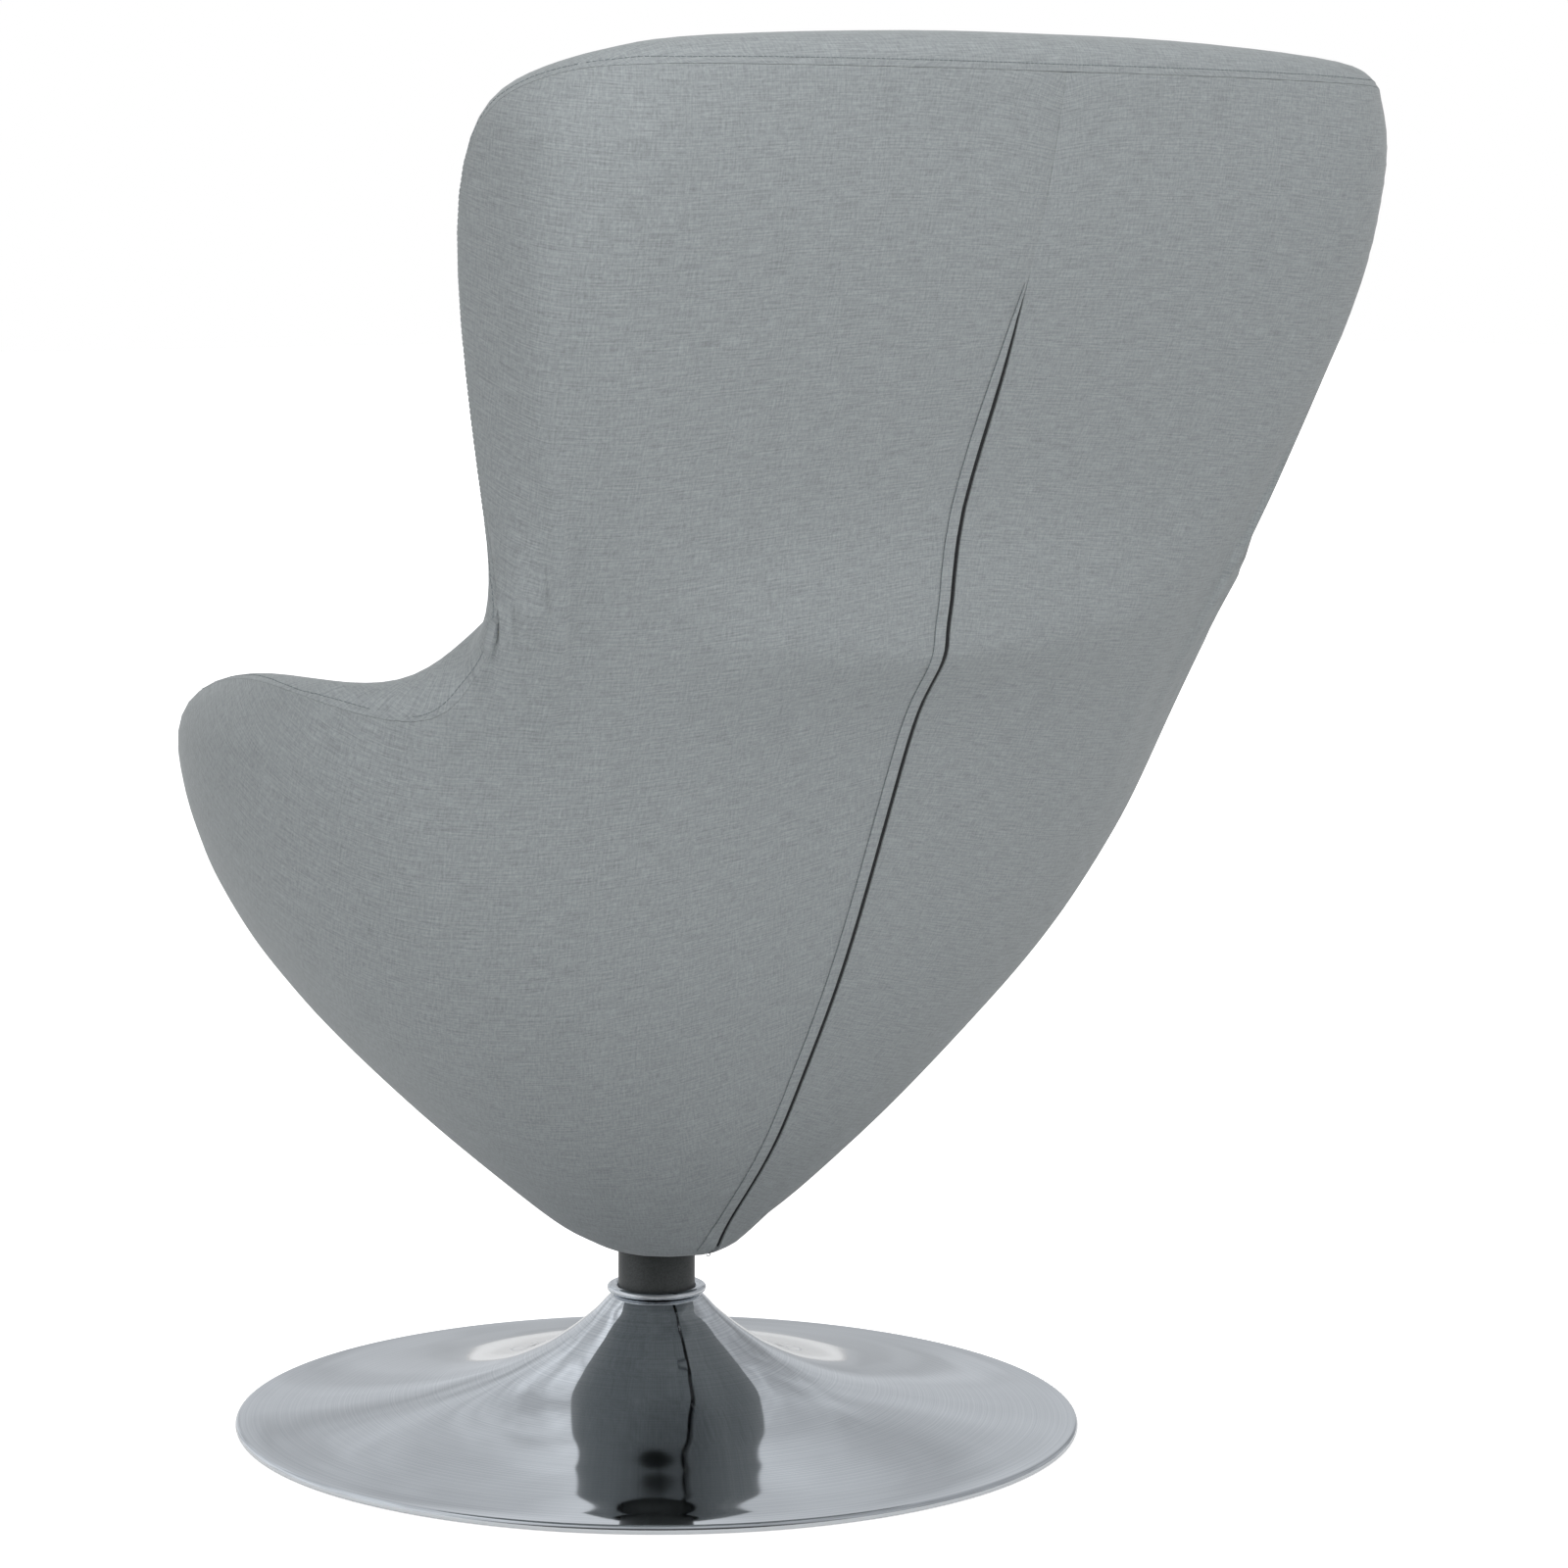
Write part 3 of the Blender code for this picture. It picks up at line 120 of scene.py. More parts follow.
def new_finish(name, **shader):
    """A material with one Principled shader. Gives the material, its tree and the shader."""
    made = bpy.data.materials.new(name)
    made.use_nodes = True
    principled = made.node_tree.nodes["Principled BSDF"]
    for key, value in shader.items():
        principled.inputs[key.replace("_", " ")].default_value = value
    return made, made.node_tree, principled


def two_tone(tree, height, dark, light, low=0.35, high=0.65):
    """A ramp from a dark to a light colour over a pattern's height."""
    ramp = add_node(tree, "ShaderNodeValToRGB", _0=height)
    ramp.color_ramp.elements[0].position = low
    ramp.color_ramp.elements[0].color = colour(dark)
    ramp.color_ramp.elements[1].position = high
    ramp.color_ramp.elements[1].color = colour(light)
    return ramp.outputs["Color"]


def grained(name, dark, light, grain, detail=3.0, strength=0.2, depth=None, **shader_values):
    """A finish in two tones, with a grain of a real size in metres and a bump of its own."""
    made, tree, shader = new_finish(name, **shader_values)
    place = add_node(tree, "ShaderNodeTexCoord").outputs["Object"]
    noise = add_node(tree, "ShaderNodeTexNoise", Vector=place, Scale=1 / grain, Detail=detail)
    height = noise.outputs["Fac"]
    tree.links.new(two_tone(tree, height, dark, light), shader.inputs["Base Color"])
    if strength:
        bump = add_node(tree, "ShaderNodeBump", Strength=strength, Distance=depth or grain / 10,
                        Height=height)
        tree.links.new(bump.outputs[0], shader.inputs["Normal"])
    return made


# %% [markdown]
# ## The cloth
# The cover is a plain-woven linen-look polyester: blue-grey yarns that vary along their length,
# with thick slubs along the weft and finer marks along the warp. Woven matt yarn has no gloss,
# only a soft sheen at glancing angles. Real yarns are 0.4 mm apart, too fine to show from 3.6 m,
# so the marks are drawn 1 mm thick. The pattern reads a UV map in metres, laid out like the flat
# pieces that the cloth is cut in, so that it turns with the cloth as the real one does.

# %% Cloth finish
WEFT_MARK = (0.024, 0.0011)      # length and thickness of a slub, in metres
WARP_MARK = (0.0013, 0.012)
GRAIN = 0.0022


def cloth_finish(name, dark, light):
    """Woven cloth in two tones, with marks along its weft and its warp and a fine grain."""
    made, tree, shader = new_finish(name, Roughness=0.92, Sheen_Weight=0.22, Sheen_Roughness=0.45)
    place = add_node(tree, "ShaderNodeUVMap", {"uv_map": "weave"}).outputs["UV"]
    marks = []
    for width, height in (WEFT_MARK, WARP_MARK, (GRAIN, GRAIN)):
        scaled = add_node(tree, "ShaderNodeMapping", _0=place, Scale=(1 / width, 1 / height, 1))
        noise = add_node(tree, "ShaderNodeTexNoise", Vector=scaled.outputs[0], Scale=1.0,
                         Detail=2.0, Roughness=0.6)
        marks.append(noise.outputs["Fac"])
    threads = add_node(tree, "ShaderNodeMix", _0=0.42, _2=marks[0], _3=marks[1])
    height = add_node(tree, "ShaderNodeMix", _0=0.28, _2=threads.outputs[0], _3=marks[2])
    tone = two_tone(tree, height.outputs[0], dark, light, 0.33, 0.67)
    tree.links.new(tone, shader.inputs["Base Color"])
    bump = add_node(tree, "ShaderNodeBump", Strength=0.35, Distance=0.0006,
                    Height=height.outputs[0])
    tree.links.new(bump.outputs[0], shader.inputs["Normal"])
    return made


grey_cloth = cloth_finish("woven_linen_look_polyester", "#7E8385", "#A9AFB1")
print("cloth made:", grey_cloth.name)

# %% [markdown]
# ## Turning a measured solid into sewn cloth
# In the measured model a cloth panel is a thin solid of flat triangles. Real cloth is one sheet.
# So a copy of the solid is merged, its triangles are joined to squares, and only its outer skin
# is kept: the faces that don't look at the layer under the cloth.

# %% From a solid to a sheet
SHARP = radians(75)              # a sheet ends where the solid turns more than this


def face_tree(obj):
    """An object's faces as a tree, for rays and nearest places."""
    return BVHTree.FromObject(obj, bpy.context.evaluated_depsgraph_get())


def merged_copy(node):
    """A bmesh of a measured node, merged, with its triangles joined to squares."""
    build = bmesh.new()
    build.from_mesh(frame["nodes"][node].data)
    for layer in build.loops.layers.uv.values():
        build.loops.layers.uv.remove(layer)
    bmesh.ops.remove_doubles(build, verts=build.verts[:], dist=0.00001)
    bmesh.ops.join_triangles(build, faces=build.faces[:], angle_face_threshold=radians(90),
                             angle_shape_threshold=radians(180), topology_influence=2.0)
    build.normal_update()
    return build


def keep_skin(build, inner_node, reach=0.0015):
    """Keeps the faces that don't look at the layer under them, up to the sharp edges."""
    under = face_tree(frame["nodes"][inner_node])
    shut = set()
    for face in build.faces:
        start = face.calc_center_median() - reach * face.normal
        hit = under.ray_cast(start, face.normal, 2 * reach)
        if hit[0] is not None:
            shut.add(face)
    free = [face for face in build.faces if face not in shut]
    start = max(free, key=lambda face: face.calc_area())
    kept, queue = {start}, [start]
    while queue:
        face = queue.pop()
        for edge in face.edges:
            if len(edge.link_faces) == 2 and edge.calc_face_angle() < SHARP:
                for other in edge.link_faces:
                    if other not in kept and other not in shut:
                        kept.add(other)
                        queue.append(other)
    lost = [face for face in build.faces if face not in kept]
    bmesh.ops.delete(build, geom=lost, context="FACES")
    bmesh.ops.holes_fill(build, edges=build.edges[:], sides=4)
    return build


def to_object(name, build, made):
    """A bmesh as a smooth-shaded object in the scene, with its material."""
    mesh = bpy.data.meshes.new(name)
    for face in build.faces:
        face.smooth = True
    build.to_mesh(mesh)
    build.free()
    mesh.materials.append(made)
    obj = bpy.data.objects.new(name, mesh)
    bpy.context.scene.collection.objects.link(obj)
    return obj


# %% [markdown]
# The sheet is then unwrapped flat, as the cutter had it, so that the weave lies on it undistorted.
# Blender's unwrap gives flat pieces of any turn and size. So each piece is turned until the weft
# runs level at the middle of the back, and scaled until its area is the real cloth's, in metres.

# %% Unwrapping
BACK_FOOT = 0.50                 # above this height the weft runs level across the back
LOW_SHARE = 0.1                  # how much the cloth below it counts for the weft's turn
MIDDLE_REACH = 0.04              # the cloth this near to the middle line counts most


def lay_flat(obj):
    """Unwraps a sheet like a cut piece of cloth, in metres, with the weft level at the middle."""
    bpy.context.view_layer.objects.active = obj
    obj.select_set(True)
    obj.data.uv_layers.new(name="weave")
    bpy.ops.object.mode_set(mode="EDIT")
    bpy.ops.mesh.select_all(action="SELECT")
    bpy.ops.uv.unwrap(method="MINIMUM_STRETCH", margin=0.0)
    bpy.ops.object.mode_set(mode="OBJECT")
    obj.select_set(False)
    build = bmesh.new()
    build.from_mesh(obj.data)
    weave = build.loops.layers.uv["weave"]
    left = set(build.faces)
    while left:
        island, queue = set(), [next(iter(left))]
        while queue:
            face = queue.pop()
            if face in island:
                continue
            island.add(face)
            queue += [other for edge in face.edges if not edge.seam for other in edge.link_faces]
        left -= island
        flat_area, area, rise = 0.0, 0.0, Vector((0, 0))
        for face in island:
            loops = list(face.loops)
            for second, third in zip(loops[1:], loops[2:]):
                ends = [loop[weave].uv for loop in (loops[0], second, third)]
                one, two = ends[1] - ends[0], ends[2] - ends[0]
                twice = one.cross(two)
                if abs(twice) < 1e-12:
                    continue
                corners = [loop.vert.co for loop in (loops[0], second, third)]
                up_one, up_two = corners[1].z - corners[0].z, corners[2].z - corners[0].z
                slope = Vector((up_one * two.y - up_two * one.y,
                                up_two * one.x - up_one * two.x)) / twice
                whole = (corners[1] - corners[0]).cross(corners[2] - corners[0]).length
                middle = face.calc_center_median()
                near = 1.0 if middle.z > BACK_FOOT else LOW_SHARE
                rise += slope * whole * near / (MIDDLE_REACH + abs(middle.x)) ** 2
                flat_area += abs(twice)
                area += whole
        turn = pi / 2 - np.arctan2(rise.y, rise.x) if rise.length > 0 else 0.0
        scale = (area / flat_area) ** 0.5
        spin = Matrix.Rotation(turn, 2)
        for face in island:
            for loop in face.loops:
                loop[weave].uv = scale * (spin @ loop[weave].uv)
    build.to_mesh(obj.data)
    build.free()


# %% [markdown]
# Subdivision Surface makes the sheet smooth, Solidify gives its thickness back, and Bevel rounds
# the folded edges. A subdivided surface shrinks away from its corners, so they are first pushed out
# by as much as they would move, and the smooth cloth passes through the measured points.

# %% Smoothing and thickness


def hold_shape(obj, rounds=2):
    """Pushes a subdivided sheet's corners out until its smooth surface passes through them."""
    goal = np.array([vertex.co for vertex in obj.data.vertices])
    cage = goal.copy()
    for _ in range(rounds):
        depsgraph = bpy.context.evaluated_depsgraph_get()
        smooth = obj.evaluated_get(depsgraph).data
        now = np.array([smooth.vertices[i].co for i in range(len(goal))])
        cage += goal - now
        obj.data.vertices.foreach_set("co", cage.ravel())
        obj.data.update()


def pin_border(obj):
    """A vertex group of every point but the open edge, so that smoothing leaves the edge alone."""
    build = bmesh.new()
    build.from_mesh(obj.data)
    inner = [vertex.index for vertex in build.verts if not vertex.is_boundary]
    build.free()
    obj.vertex_groups.new(name="inner points").add(inner, 1.0, "REPLACE")


def applied(obj):
    """Bakes an object's modifiers into its mesh."""
    made = obj.evaluated_get(bpy.context.evaluated_depsgraph_get())
    whole = bpy.data.meshes.new_from_object(made)
    obj.modifiers.clear()
    obj.data = whole


RELAX_SHARE = 0.5                # how far each round of the light smoothing moves a point
RELAX_ROUNDS = 6
FOLDED = radians(60)             # edges that turn more than this are rounded


def smoothed(obj, levels=2):
    """Subdivision through the measured points, then a light smoothing of small ridges."""
    pin_border(obj)
    smooth = obj.modifiers.new("smooth", "SUBSURF")
    smooth.levels = smooth.render_levels = levels
    smooth.boundary_smooth = "PRESERVE_CORNERS"
    hold_shape(obj)
    relax = obj.modifiers.new("relax", "SMOOTH")
    relax.factor = RELAX_SHARE
    relax.iterations = RELAX_ROUNDS
    relax.vertex_group = "inner points"
    applied(obj)
    obj.vertex_groups.clear()
    return obj


def thickened(obj, thickness, edge_round):
    """Thickness inwards and rounded edges."""
    thick = obj.modifiers.new("thickness", "SOLIDIFY")
    thick.thickness = thickness
    thick.offset = -1
    thick.use_even_offset = False
    soft = obj.modifiers.new("folded edge", "BEVEL")
    soft.width = edge_round
    soft.segments = 2
    soft.limit_method = "ANGLE"
    soft.angle_limit = FOLDED
    applied(obj)
    print(obj.name, len(obj.data.polygons), "faces")


# %% [markdown]
# ## Easing the waist and closing the seam
# Where the wing meets the arm, the measured edge turns within a hand's width, on a few flat facets.
# Sewn cloth lies there in one smooth curve. So the few points round the waist are listed, as
# old and new places.

# %% Waist
WAIST_PLACES = (
    ((0.3646, 0.2676, 0.6631), (0.3626, 0.2642, 0.6640)),
    ((0.3652, 0.2665, 0.6632), (0.3630, 0.2630, 0.6641)),
    ((0.3550, 0.2410, 0.6182), (0.3650, 0.2365, 0.6200)),
    ((0.3559, 0.2406, 0.6188), (0.3655, 0.2360, 0.6207)),
    ((0.3664, 0.2534, 0.6657), (0.3612, 0.2508, 0.6668)),
    ((0.3583, 0.2409, 0.6697), (0.3520, 0.2392, 0.6705)),
    ((0.3422, 0.2312, 0.6762), (0.3360, 0.2325, 0.6755)),
    ((0.3632, 0.2335, 0.6275), (0.3640, 0.2295, 0.6300)),
    ((0.3621, 0.2221, 0.6379), (0.3585, 0.2190, 0.6375)),
)
SAME_PLACE = 0.0004              # a point this near to an old place is the one that is meant


def on_side(side, place):
    """A place, or with side -1 its mirror image."""
    return Vector((side * place[0], place[1], place[2]))


def ease_waist(sheet):
    """Moves a sheet's points round the waist from their old to their new places, on both sides."""
    moved = 0
    for old, new in WAIST_PLACES:
        for side in (1, -1):
            spot = on_side(side, old)
            near = min(sheet.verts, key=lambda vertex: (vertex.co - spot).length_squared)
            if (near.co - spot).length < SAME_PLACE:
                near.co = on_side(side, new)
                moved += 1
    print("waist points moved:", moved)


# %% [markdown]
# Two pieces that are sewn together touch along their seam. In the measured model they lie a little
# apart, so both sheets' edges are drawn towards each other until only a fine seam is left.

# %% Seam
SEAM_REACH = 0.003               # the measured seam is narrower than this
SEAM_CLOSING = 0.36              # how much of the way to the other sheet each edge moves


def open_edge(sheet):
    """The points on a sheet's open edge."""
    return [vertex for vertex in sheet.verts if vertex.is_boundary]


def close_seam(one, other):
    """Draws two sheets' edges towards each other."""
    places = {}
    for sheet, facing in ((one, other), (other, one)):
        across = [vertex.co.copy() for vertex in open_edge(facing)]
        for vertex in open_edge(sheet):
            for side in (1, -1):
                spot = on_side(side, vertex.co)
                near = min(across, key=lambda place: (place - spot).length_squared)
                if (near - spot).length < SEAM_REACH:
                    places[vertex] = on_side(side, spot.lerp(near, SEAM_CLOSING))
                    break
    for vertex, place in places.items():
        vertex.co = place
    print("seam points drawn together:", len(places))


# %% [markdown]
# The arms' tops are stuffed 12 mm higher than the measured ones, as in the photograph. The rise
# fades in smoothly, upwards from the arm's side and along its length. Then all three changes are
# made to the back cover's sheet and to the inner cloth's.

# %% Arms, and both sheets made


def ramp(value, low, high):
    """A smooth step from 0 at low to 1 at high. Low may be the larger."""
    share = min(1.0, max(0.0, (value - low) / (high - low)))
    return share * share * (3 - 2 * share)


ARM_RISE = 0.012
ARM_HEIGHTS = (0.46, 0.58)       # the rise begins at the first of these and is whole at the second
ARM_BACK = (0.21, 0.09)
ARM_FRONT = (-0.24, -0.08)


def raise_arms(build):
    """Stuffs the arms' tops a little higher."""
    for vertex in build.verts:
        spot = vertex.co
        share = ramp(spot.z, *ARM_HEIGHTS) * ramp(spot.y, *ARM_BACK) * ramp(spot.y, *ARM_FRONT)
        spot.z += ARM_RISE * share


cover_sheet = keep_skin(merged_copy("rear_cover_left"), "core_shell")
lining_sheet = keep_skin(merged_copy("inner_lining"), "moulded_foam")
for sheet in (cover_sheet, lining_sheet):
    ease_waist(sheet)
    raise_arms(sheet)
close_seam(cover_sheet, lining_sheet)

# %% [markdown]
# ## The two halves of the back cover
# The back is cut in two panels that meet in the middle: the zip lies between them, and above it
# they are sewn together. Each panel is backed with thin foam, so its edge folds 5.5 mm deep. Where
# smoothing lets the cloth sink into the hard shell, a ray from outside finds the shell, and the
# point is lifted off it before the sheet gets its thickness.

# %% Back panels
COVER_THICKNESS = 0.0055
EDGE_ROUND = 0.0009
CORE_ROOM = 0.0048               # the cloth's face stays this far outside the hard shell
RAY_START = 0.02
left_panel = smoothed(to_object("back_panel_left", cover_sheet, grey_cloth))
hard_core = face_tree(frame["nodes"]["core_shell"])
lifted = 0
for vertex in left_panel.data.vertices:
    out = vertex.normal.copy()
    hit = hard_core.ray_cast(vertex.co + RAY_START * out, -out, 2 * RAY_START)
    if hit[0] is not None and hit[3] - RAY_START < CORE_ROOM:
        vertex.co += (CORE_ROOM + RAY_START - hit[3]) * out
        lifted += 1
print("points lifted off the hard shell:", lifted)
lay_flat(left_panel)
cover_face = face_tree(left_panel)
thickened(left_panel, COVER_THICKNESS, EDGE_ROUND)

# %% [markdown]
# Behind the sitter's waist the cloth is stuffed out into a soft bulge across the back. Only the
# outer side of the cloth moves, more the further it is from the hard core under it.

# %% Lumbar bulge
BULGE_HEIGHT = 0.670
BULGE_SPREAD = 0.036
BULGE_HALF_WIDTH = 0.200
BULGE_DEPTH = 0.0080
BULGE_WAY = Vector((0, 0.97, -0.24))
BACK_FROM = 0.1                  # only cloth further back than this is stuffed out
LEAST_SWELL = 0.005
swollen = 0
for vertex in left_panel.data.vertices:
    spot = vertex.co
    swell = exp(-((spot.z - BULGE_HEIGHT) / BULGE_SPREAD) ** 2
                - (abs(spot.x) / BULGE_HALF_WIDTH) ** 3)
    if spot.y > BACK_FROM and swell > LEAST_SWELL:
        depth = hard_core.find_nearest(spot)[3]
        vertex.co = spot + BULGE_DEPTH * swell * min(1.0, depth / COVER_THICKNESS) * BULGE_WAY
        swollen += 1
print("points in the bulge:", swollen)

# %% [markdown]
# The right panel is cut from the same pattern, turned over. So it is a mirrored copy, with its
# faces reversed, because a mirror turns a shape inside out.

# %% Right panel, mirrored
twin = bmesh.new()
twin.from_mesh(left_panel.data)
bmesh.ops.scale(twin, vec=(-1, 1, 1), verts=twin.verts)
bmesh.ops.reverse_faces(twin, faces=twin.faces)
right_panel = to_object("back_panel_right", twin, grey_cloth)
panels = {"left": left_panel, "right": right_panel}
for hand, panel in panels.items():
    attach(panel, "seat")
    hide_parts("rear_cover_" + hand)
    print(panel.name, "replaces rear_cover_" + hand)

# %% [markdown]
# ## The padded inside
# The inner cloth starts in the same seam, wraps over the padded edge and runs down to the deck
# under the cushion. A row of stitches runs along the padded edge. Its line is the sheet's open
# edge, moved inwards along the sheet, and it is taken before the sheet is cut.

# %% Line of the edge's stitches
EDGE_STITCH_AWAY = 0.005         # the stitches lie this far from the seam


def edge_loop(sheet, inset):
    """The points of a sheet's open edge in order, moved inwards along the sheet."""
    border = [edge for edge in sheet.edges if len(edge.link_faces) == 1]
    inwards = {}
    for edge in border:
        middle = (edge.verts[0].co + edge.verts[1].co) / 2
        run = (edge.verts[1].co - edge.verts[0].co).normalized()
        way = edge.link_faces[0].calc_center_median() - middle
        way = (way - way.dot(run) * run).normalized()
        for vertex in edge.verts:
            inwards[vertex] = inwards.get(vertex, Vector()) + way
    vertex = border[0].verts[0]
    order, used = [vertex], set()
    while True:
        following = [edge for edge in vertex.link_edges
                     if len(edge.link_faces) == 1 and edge not in used]
        if not following:
            break
        used.add(following[0])
        vertex = following[0].other_vert(vertex)
        if vertex is order[0]:
            break
        order.append(vertex)
    return [vertex.co + inset * inwards[vertex].normalized() for vertex in order]


seam_loop = edge_loop(lining_sheet, EDGE_STITCH_AWAY)
print("points along the seam:", len(seam_loop))

# %% [markdown]
# The inner cloth is sewn from two halves, with a seam up the middle and one round the deck. One
# half is cut out of the measured sheet, unwrapped and mirrored, so that both match.

# %% Inner cloth
DECK_HEIGHT = 0.320
DECK_NEAR = 0.0005
DECK_FLAT = 0.97                 # a deck face looks up at least this much
LINING_THICKNESS = 0.0038
LINING_ROUND = 0.0007
parts = lining_sheet.verts[:] + lining_sheet.edges[:] + lining_sheet.faces[:]
bmesh.ops.bisect_plane(lining_sheet, geom=parts, dist=0.0001, plane_co=(0, 0, 0),
                       plane_no=(1, 0, 0), clear_inner=True)
for edge in lining_sheet.edges:
    around_deck = all(abs(vertex.co.z - DECK_HEIGHT) < DECK_NEAR for vertex in edge.verts)
    edge.seam = around_deck and any(abs(face.normal.z) < DECK_FLAT for face in edge.link_faces)
lining = to_object("inner_cloth", lining_sheet, grey_cloth)
lay_flat(lining)
both = bmesh.new()
both.from_mesh(lining.data)
bmesh.ops.mirror(both, geom=both.verts[:] + both.edges[:] + both.faces[:], merge_dist=0.0002,
                 axis="X")
bmesh.ops.recalc_face_normals(both, faces=both.faces)
weave = both.loops.layers.uv["weave"]
for face in both.faces:
    if face.calc_center_median().x < 0:
        for loop in face.loops:
            loop[weave].uv.x *= -1
deck = min(both.faces, key=lambda face: face.calc_center_median().length)
print("inner cloth half mirrored:", len(both.faces), "faces, deck looks up:", deck.normal.z > 0)
if deck.normal.z < 0:
    bmesh.ops.reverse_faces(both, faces=both.faces)
both.to_mesh(lining.data)
both.free()
smoothed(lining)
lining_face = face_tree(lining)
thickened(lining, LINING_THICKNESS, LINING_ROUND)
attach(lining, "seat")
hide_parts("inner_lining")

# %% [markdown]
# The moulded foam under the cloth is pale cold-cured foam. It only shows if the cloth is taken
# off. Its skin has fine cells, drawn 1.5 mm wide. The cloth was smoothed, and the foam's flat faces
# would cut through its curve, so they are divided first. Then each point of the foam is drawn in
# until it lies a set depth under the face of the back cover and of the inner cloth. Round the deck
# the cloth dips into a groove, and the foam is lowered more there.

# %% Foam
foam_finish, tree, shader = new_finish("cold_cured_foam", Roughness=0.95)
place = add_node(tree, "ShaderNodeTexCoord").outputs["Object"]
cells = add_node(tree, "ShaderNodeTexVoronoi", Vector=place, Scale=1 / 0.0015)
tree.links.new(two_tone(tree, cells.outputs["Distance"], "#D9CFB0", "#E9E1C8", 0.0, 0.7),
               shader.inputs["Base Color"])
bump = add_node(tree, "ShaderNodeBump", Strength=0.3, Distance=0.0004,
                Height=cells.outputs["Distance"])
tree.links.new(bump.outputs[0], shader.inputs["Normal"])
FOAM_DEPTHS = ((cover_face, 0.0075), (lining_face, 0.0052))
FOAM_ROUNDS = 6                  # each point is drawn in this often, from one cloth and the other
FOAM_REACH = 0.03                # only a point this near to a cloth is drawn in
DECK_EDGE = 0.030                # the deck's edge reaches this far above the deck
DECK_ROOM = 0.018
block = merged_copy("moulded_foam")
bmesh.ops.subdivide_edges(block, edges=block.edges[:], cuts=2, use_grid_fill=True)
raise_arms(block)
for vertex in block.verts:
    side = -1 if vertex.co.x < 0 else 1
    spot = on_side(side, vertex.co)
    for cloth, least in FOAM_DEPTHS * FOAM_ROUNDS:
        place, normal, _, away = cloth.find_nearest(spot)
        depth = (place - spot).dot(normal)
        if away < FOAM_REACH and depth < least:
            spot -= (least - depth) * normal
    if spot.z < DECK_HEIGHT + DECK_EDGE:
        above = spot + Vector((0, 0, 2 * DECK_EDGE))
        under = lining_face.ray_cast(above, Vector((0, 0, -1)))[0]
        if under is not None:
            spot.z = min(spot.z, under.z - DECK_ROOM)
    vertex.co = on_side(side, spot)
foam = to_object("foam_body", block, foam_finish)
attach(foam, "seat")
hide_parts("moulded_foam")
print("foam:", len(foam.data.polygons), "faces")

# %% [markdown]
# ## The zip and its lap
# The zip lies 4 mm deep in a slit between the panels. Everything beside it follows the panels'
# curve, so rays are cast from behind to find a panel's face at each height, and heights are given
# as shares of the zip's length along that face.

# %% Where the zip runs
SLOT_EDGE = 0.0046               # a ray this far from the middle meets the panel beside the fold
ZIP_BOTTOM = 0.1500
ZIP_TOP = 0.8925
ZIP_STEPS = 400
faces = {hand: face_tree(panel) for hand, panel in panels.items()}


def on_panel(x, z, hand="left"):
    """The point and the normal of a panel's outer face, seen from behind."""
    place, normal, _, _ = faces[hand].ray_cast(Vector((x, 1, z)), Vector((0, -1, 0)))
    return place, normal


fine = [ZIP_BOTTOM + (ZIP_TOP - ZIP_BOTTOM) * i / ZIP_STEPS for i in range(ZIP_STEPS + 1)]
line = np.array([on_panel(SLOT_EDGE, z)[0] for z in fine])
way = np.concatenate([[0], np.cumsum(np.linalg.norm(np.diff(line, axis=0), axis=1))])
print("zip length:", round(way[-1], 3))


def height_at(share):
    """The height at a share of the zip's length."""
    return float(np.interp(share * way[-1], way, fine))


# %% [markdown]
# The left panel carries a lap: a strip of cloth, folded at the zip and stitched down beside it. It
# could be cut out of the panel, but a strip of its own can lift off at its fold. So a flat grid is
# moved onto the panel's face. It narrows to the zip's top end.

# %% Lap beside the zip
LAP_ROWS = 110
LAP_COLUMNS = 8
LAP_WIDTH = 0.0125
LAP_EDGE = 0.0026
LAP_THICKNESS = 0.0009
LAP_TAPER = 0.16                 # the last share of the zip, where the lap narrows
LAP_TIP = 0.22                   # the share of its width that is left at the tip
LAP_FOOT = 0.04                  # the first share of the zip, where the lap is wider
LAP_FOOT_WIDER = 0.004
LAP_LIE = 0.0001                 # how far the lap lies off the panel, and its fold besides
LAP_FOLD_LIFT = 0.0004
LAP_FOLD = 0.45
LAP_OUTSIDE = 0.999              # points further across than this lie on the lap's outer edge
LAP_STITCHES = 0.6               # the share of its thickness at which its stitches lie
strip = bmesh.new()
bmesh.ops.create_grid(strip, x_segments=LAP_COLUMNS, y_segments=LAP_ROWS, size=0.5,
                      calc_uvs=False)
weave = strip.loops.layers.uv.new("weave")
lap_edge = []
for vertex in strip.verts:
    across, along = vertex.co.x + 0.5, vertex.co.y + 0.5
    z = height_at(along)
    taper = min(1.0, (1 - along) / LAP_TAPER)
    width = LAP_WIDTH * (LAP_TIP + (1 - LAP_TIP) * taper * (2 - taper))
    width += LAP_FOOT_WIDER * max(0.0, 1 - along / LAP_FOOT)
    x = LAP_EDGE + across * (width - LAP_EDGE)
    place, normal = on_panel(max(x, SLOT_EDGE), z)
    lift = LAP_LIE + LAP_FOLD_LIFT * max(0.0, 1 - across / LAP_FOLD)
    for face in vertex.link_faces:
        for loop in face.loops:
            if loop.vert == vertex:
                loop[weave].uv = (x, along * way[-1])
    vertex.co = Vector((x, place.y, place.z)) + lift * normal
    if across > LAP_OUTSIDE:
        lap_edge.append((along, vertex.co + LAP_THICKNESS * LAP_STITCHES * normal))
bmesh.ops.recalc_face_normals(strip, faces=strip.faces)
if next(iter(strip.faces)).normal.y < 0:
    bmesh.ops.reverse_faces(strip, faces=strip.faces)
lap = to_object("zip_lap", strip, grey_cloth)
thick = lap.modifiers.new("thickness", "SOLIDIFY")
thick.thickness = LAP_THICKNESS
thick.offset = 1
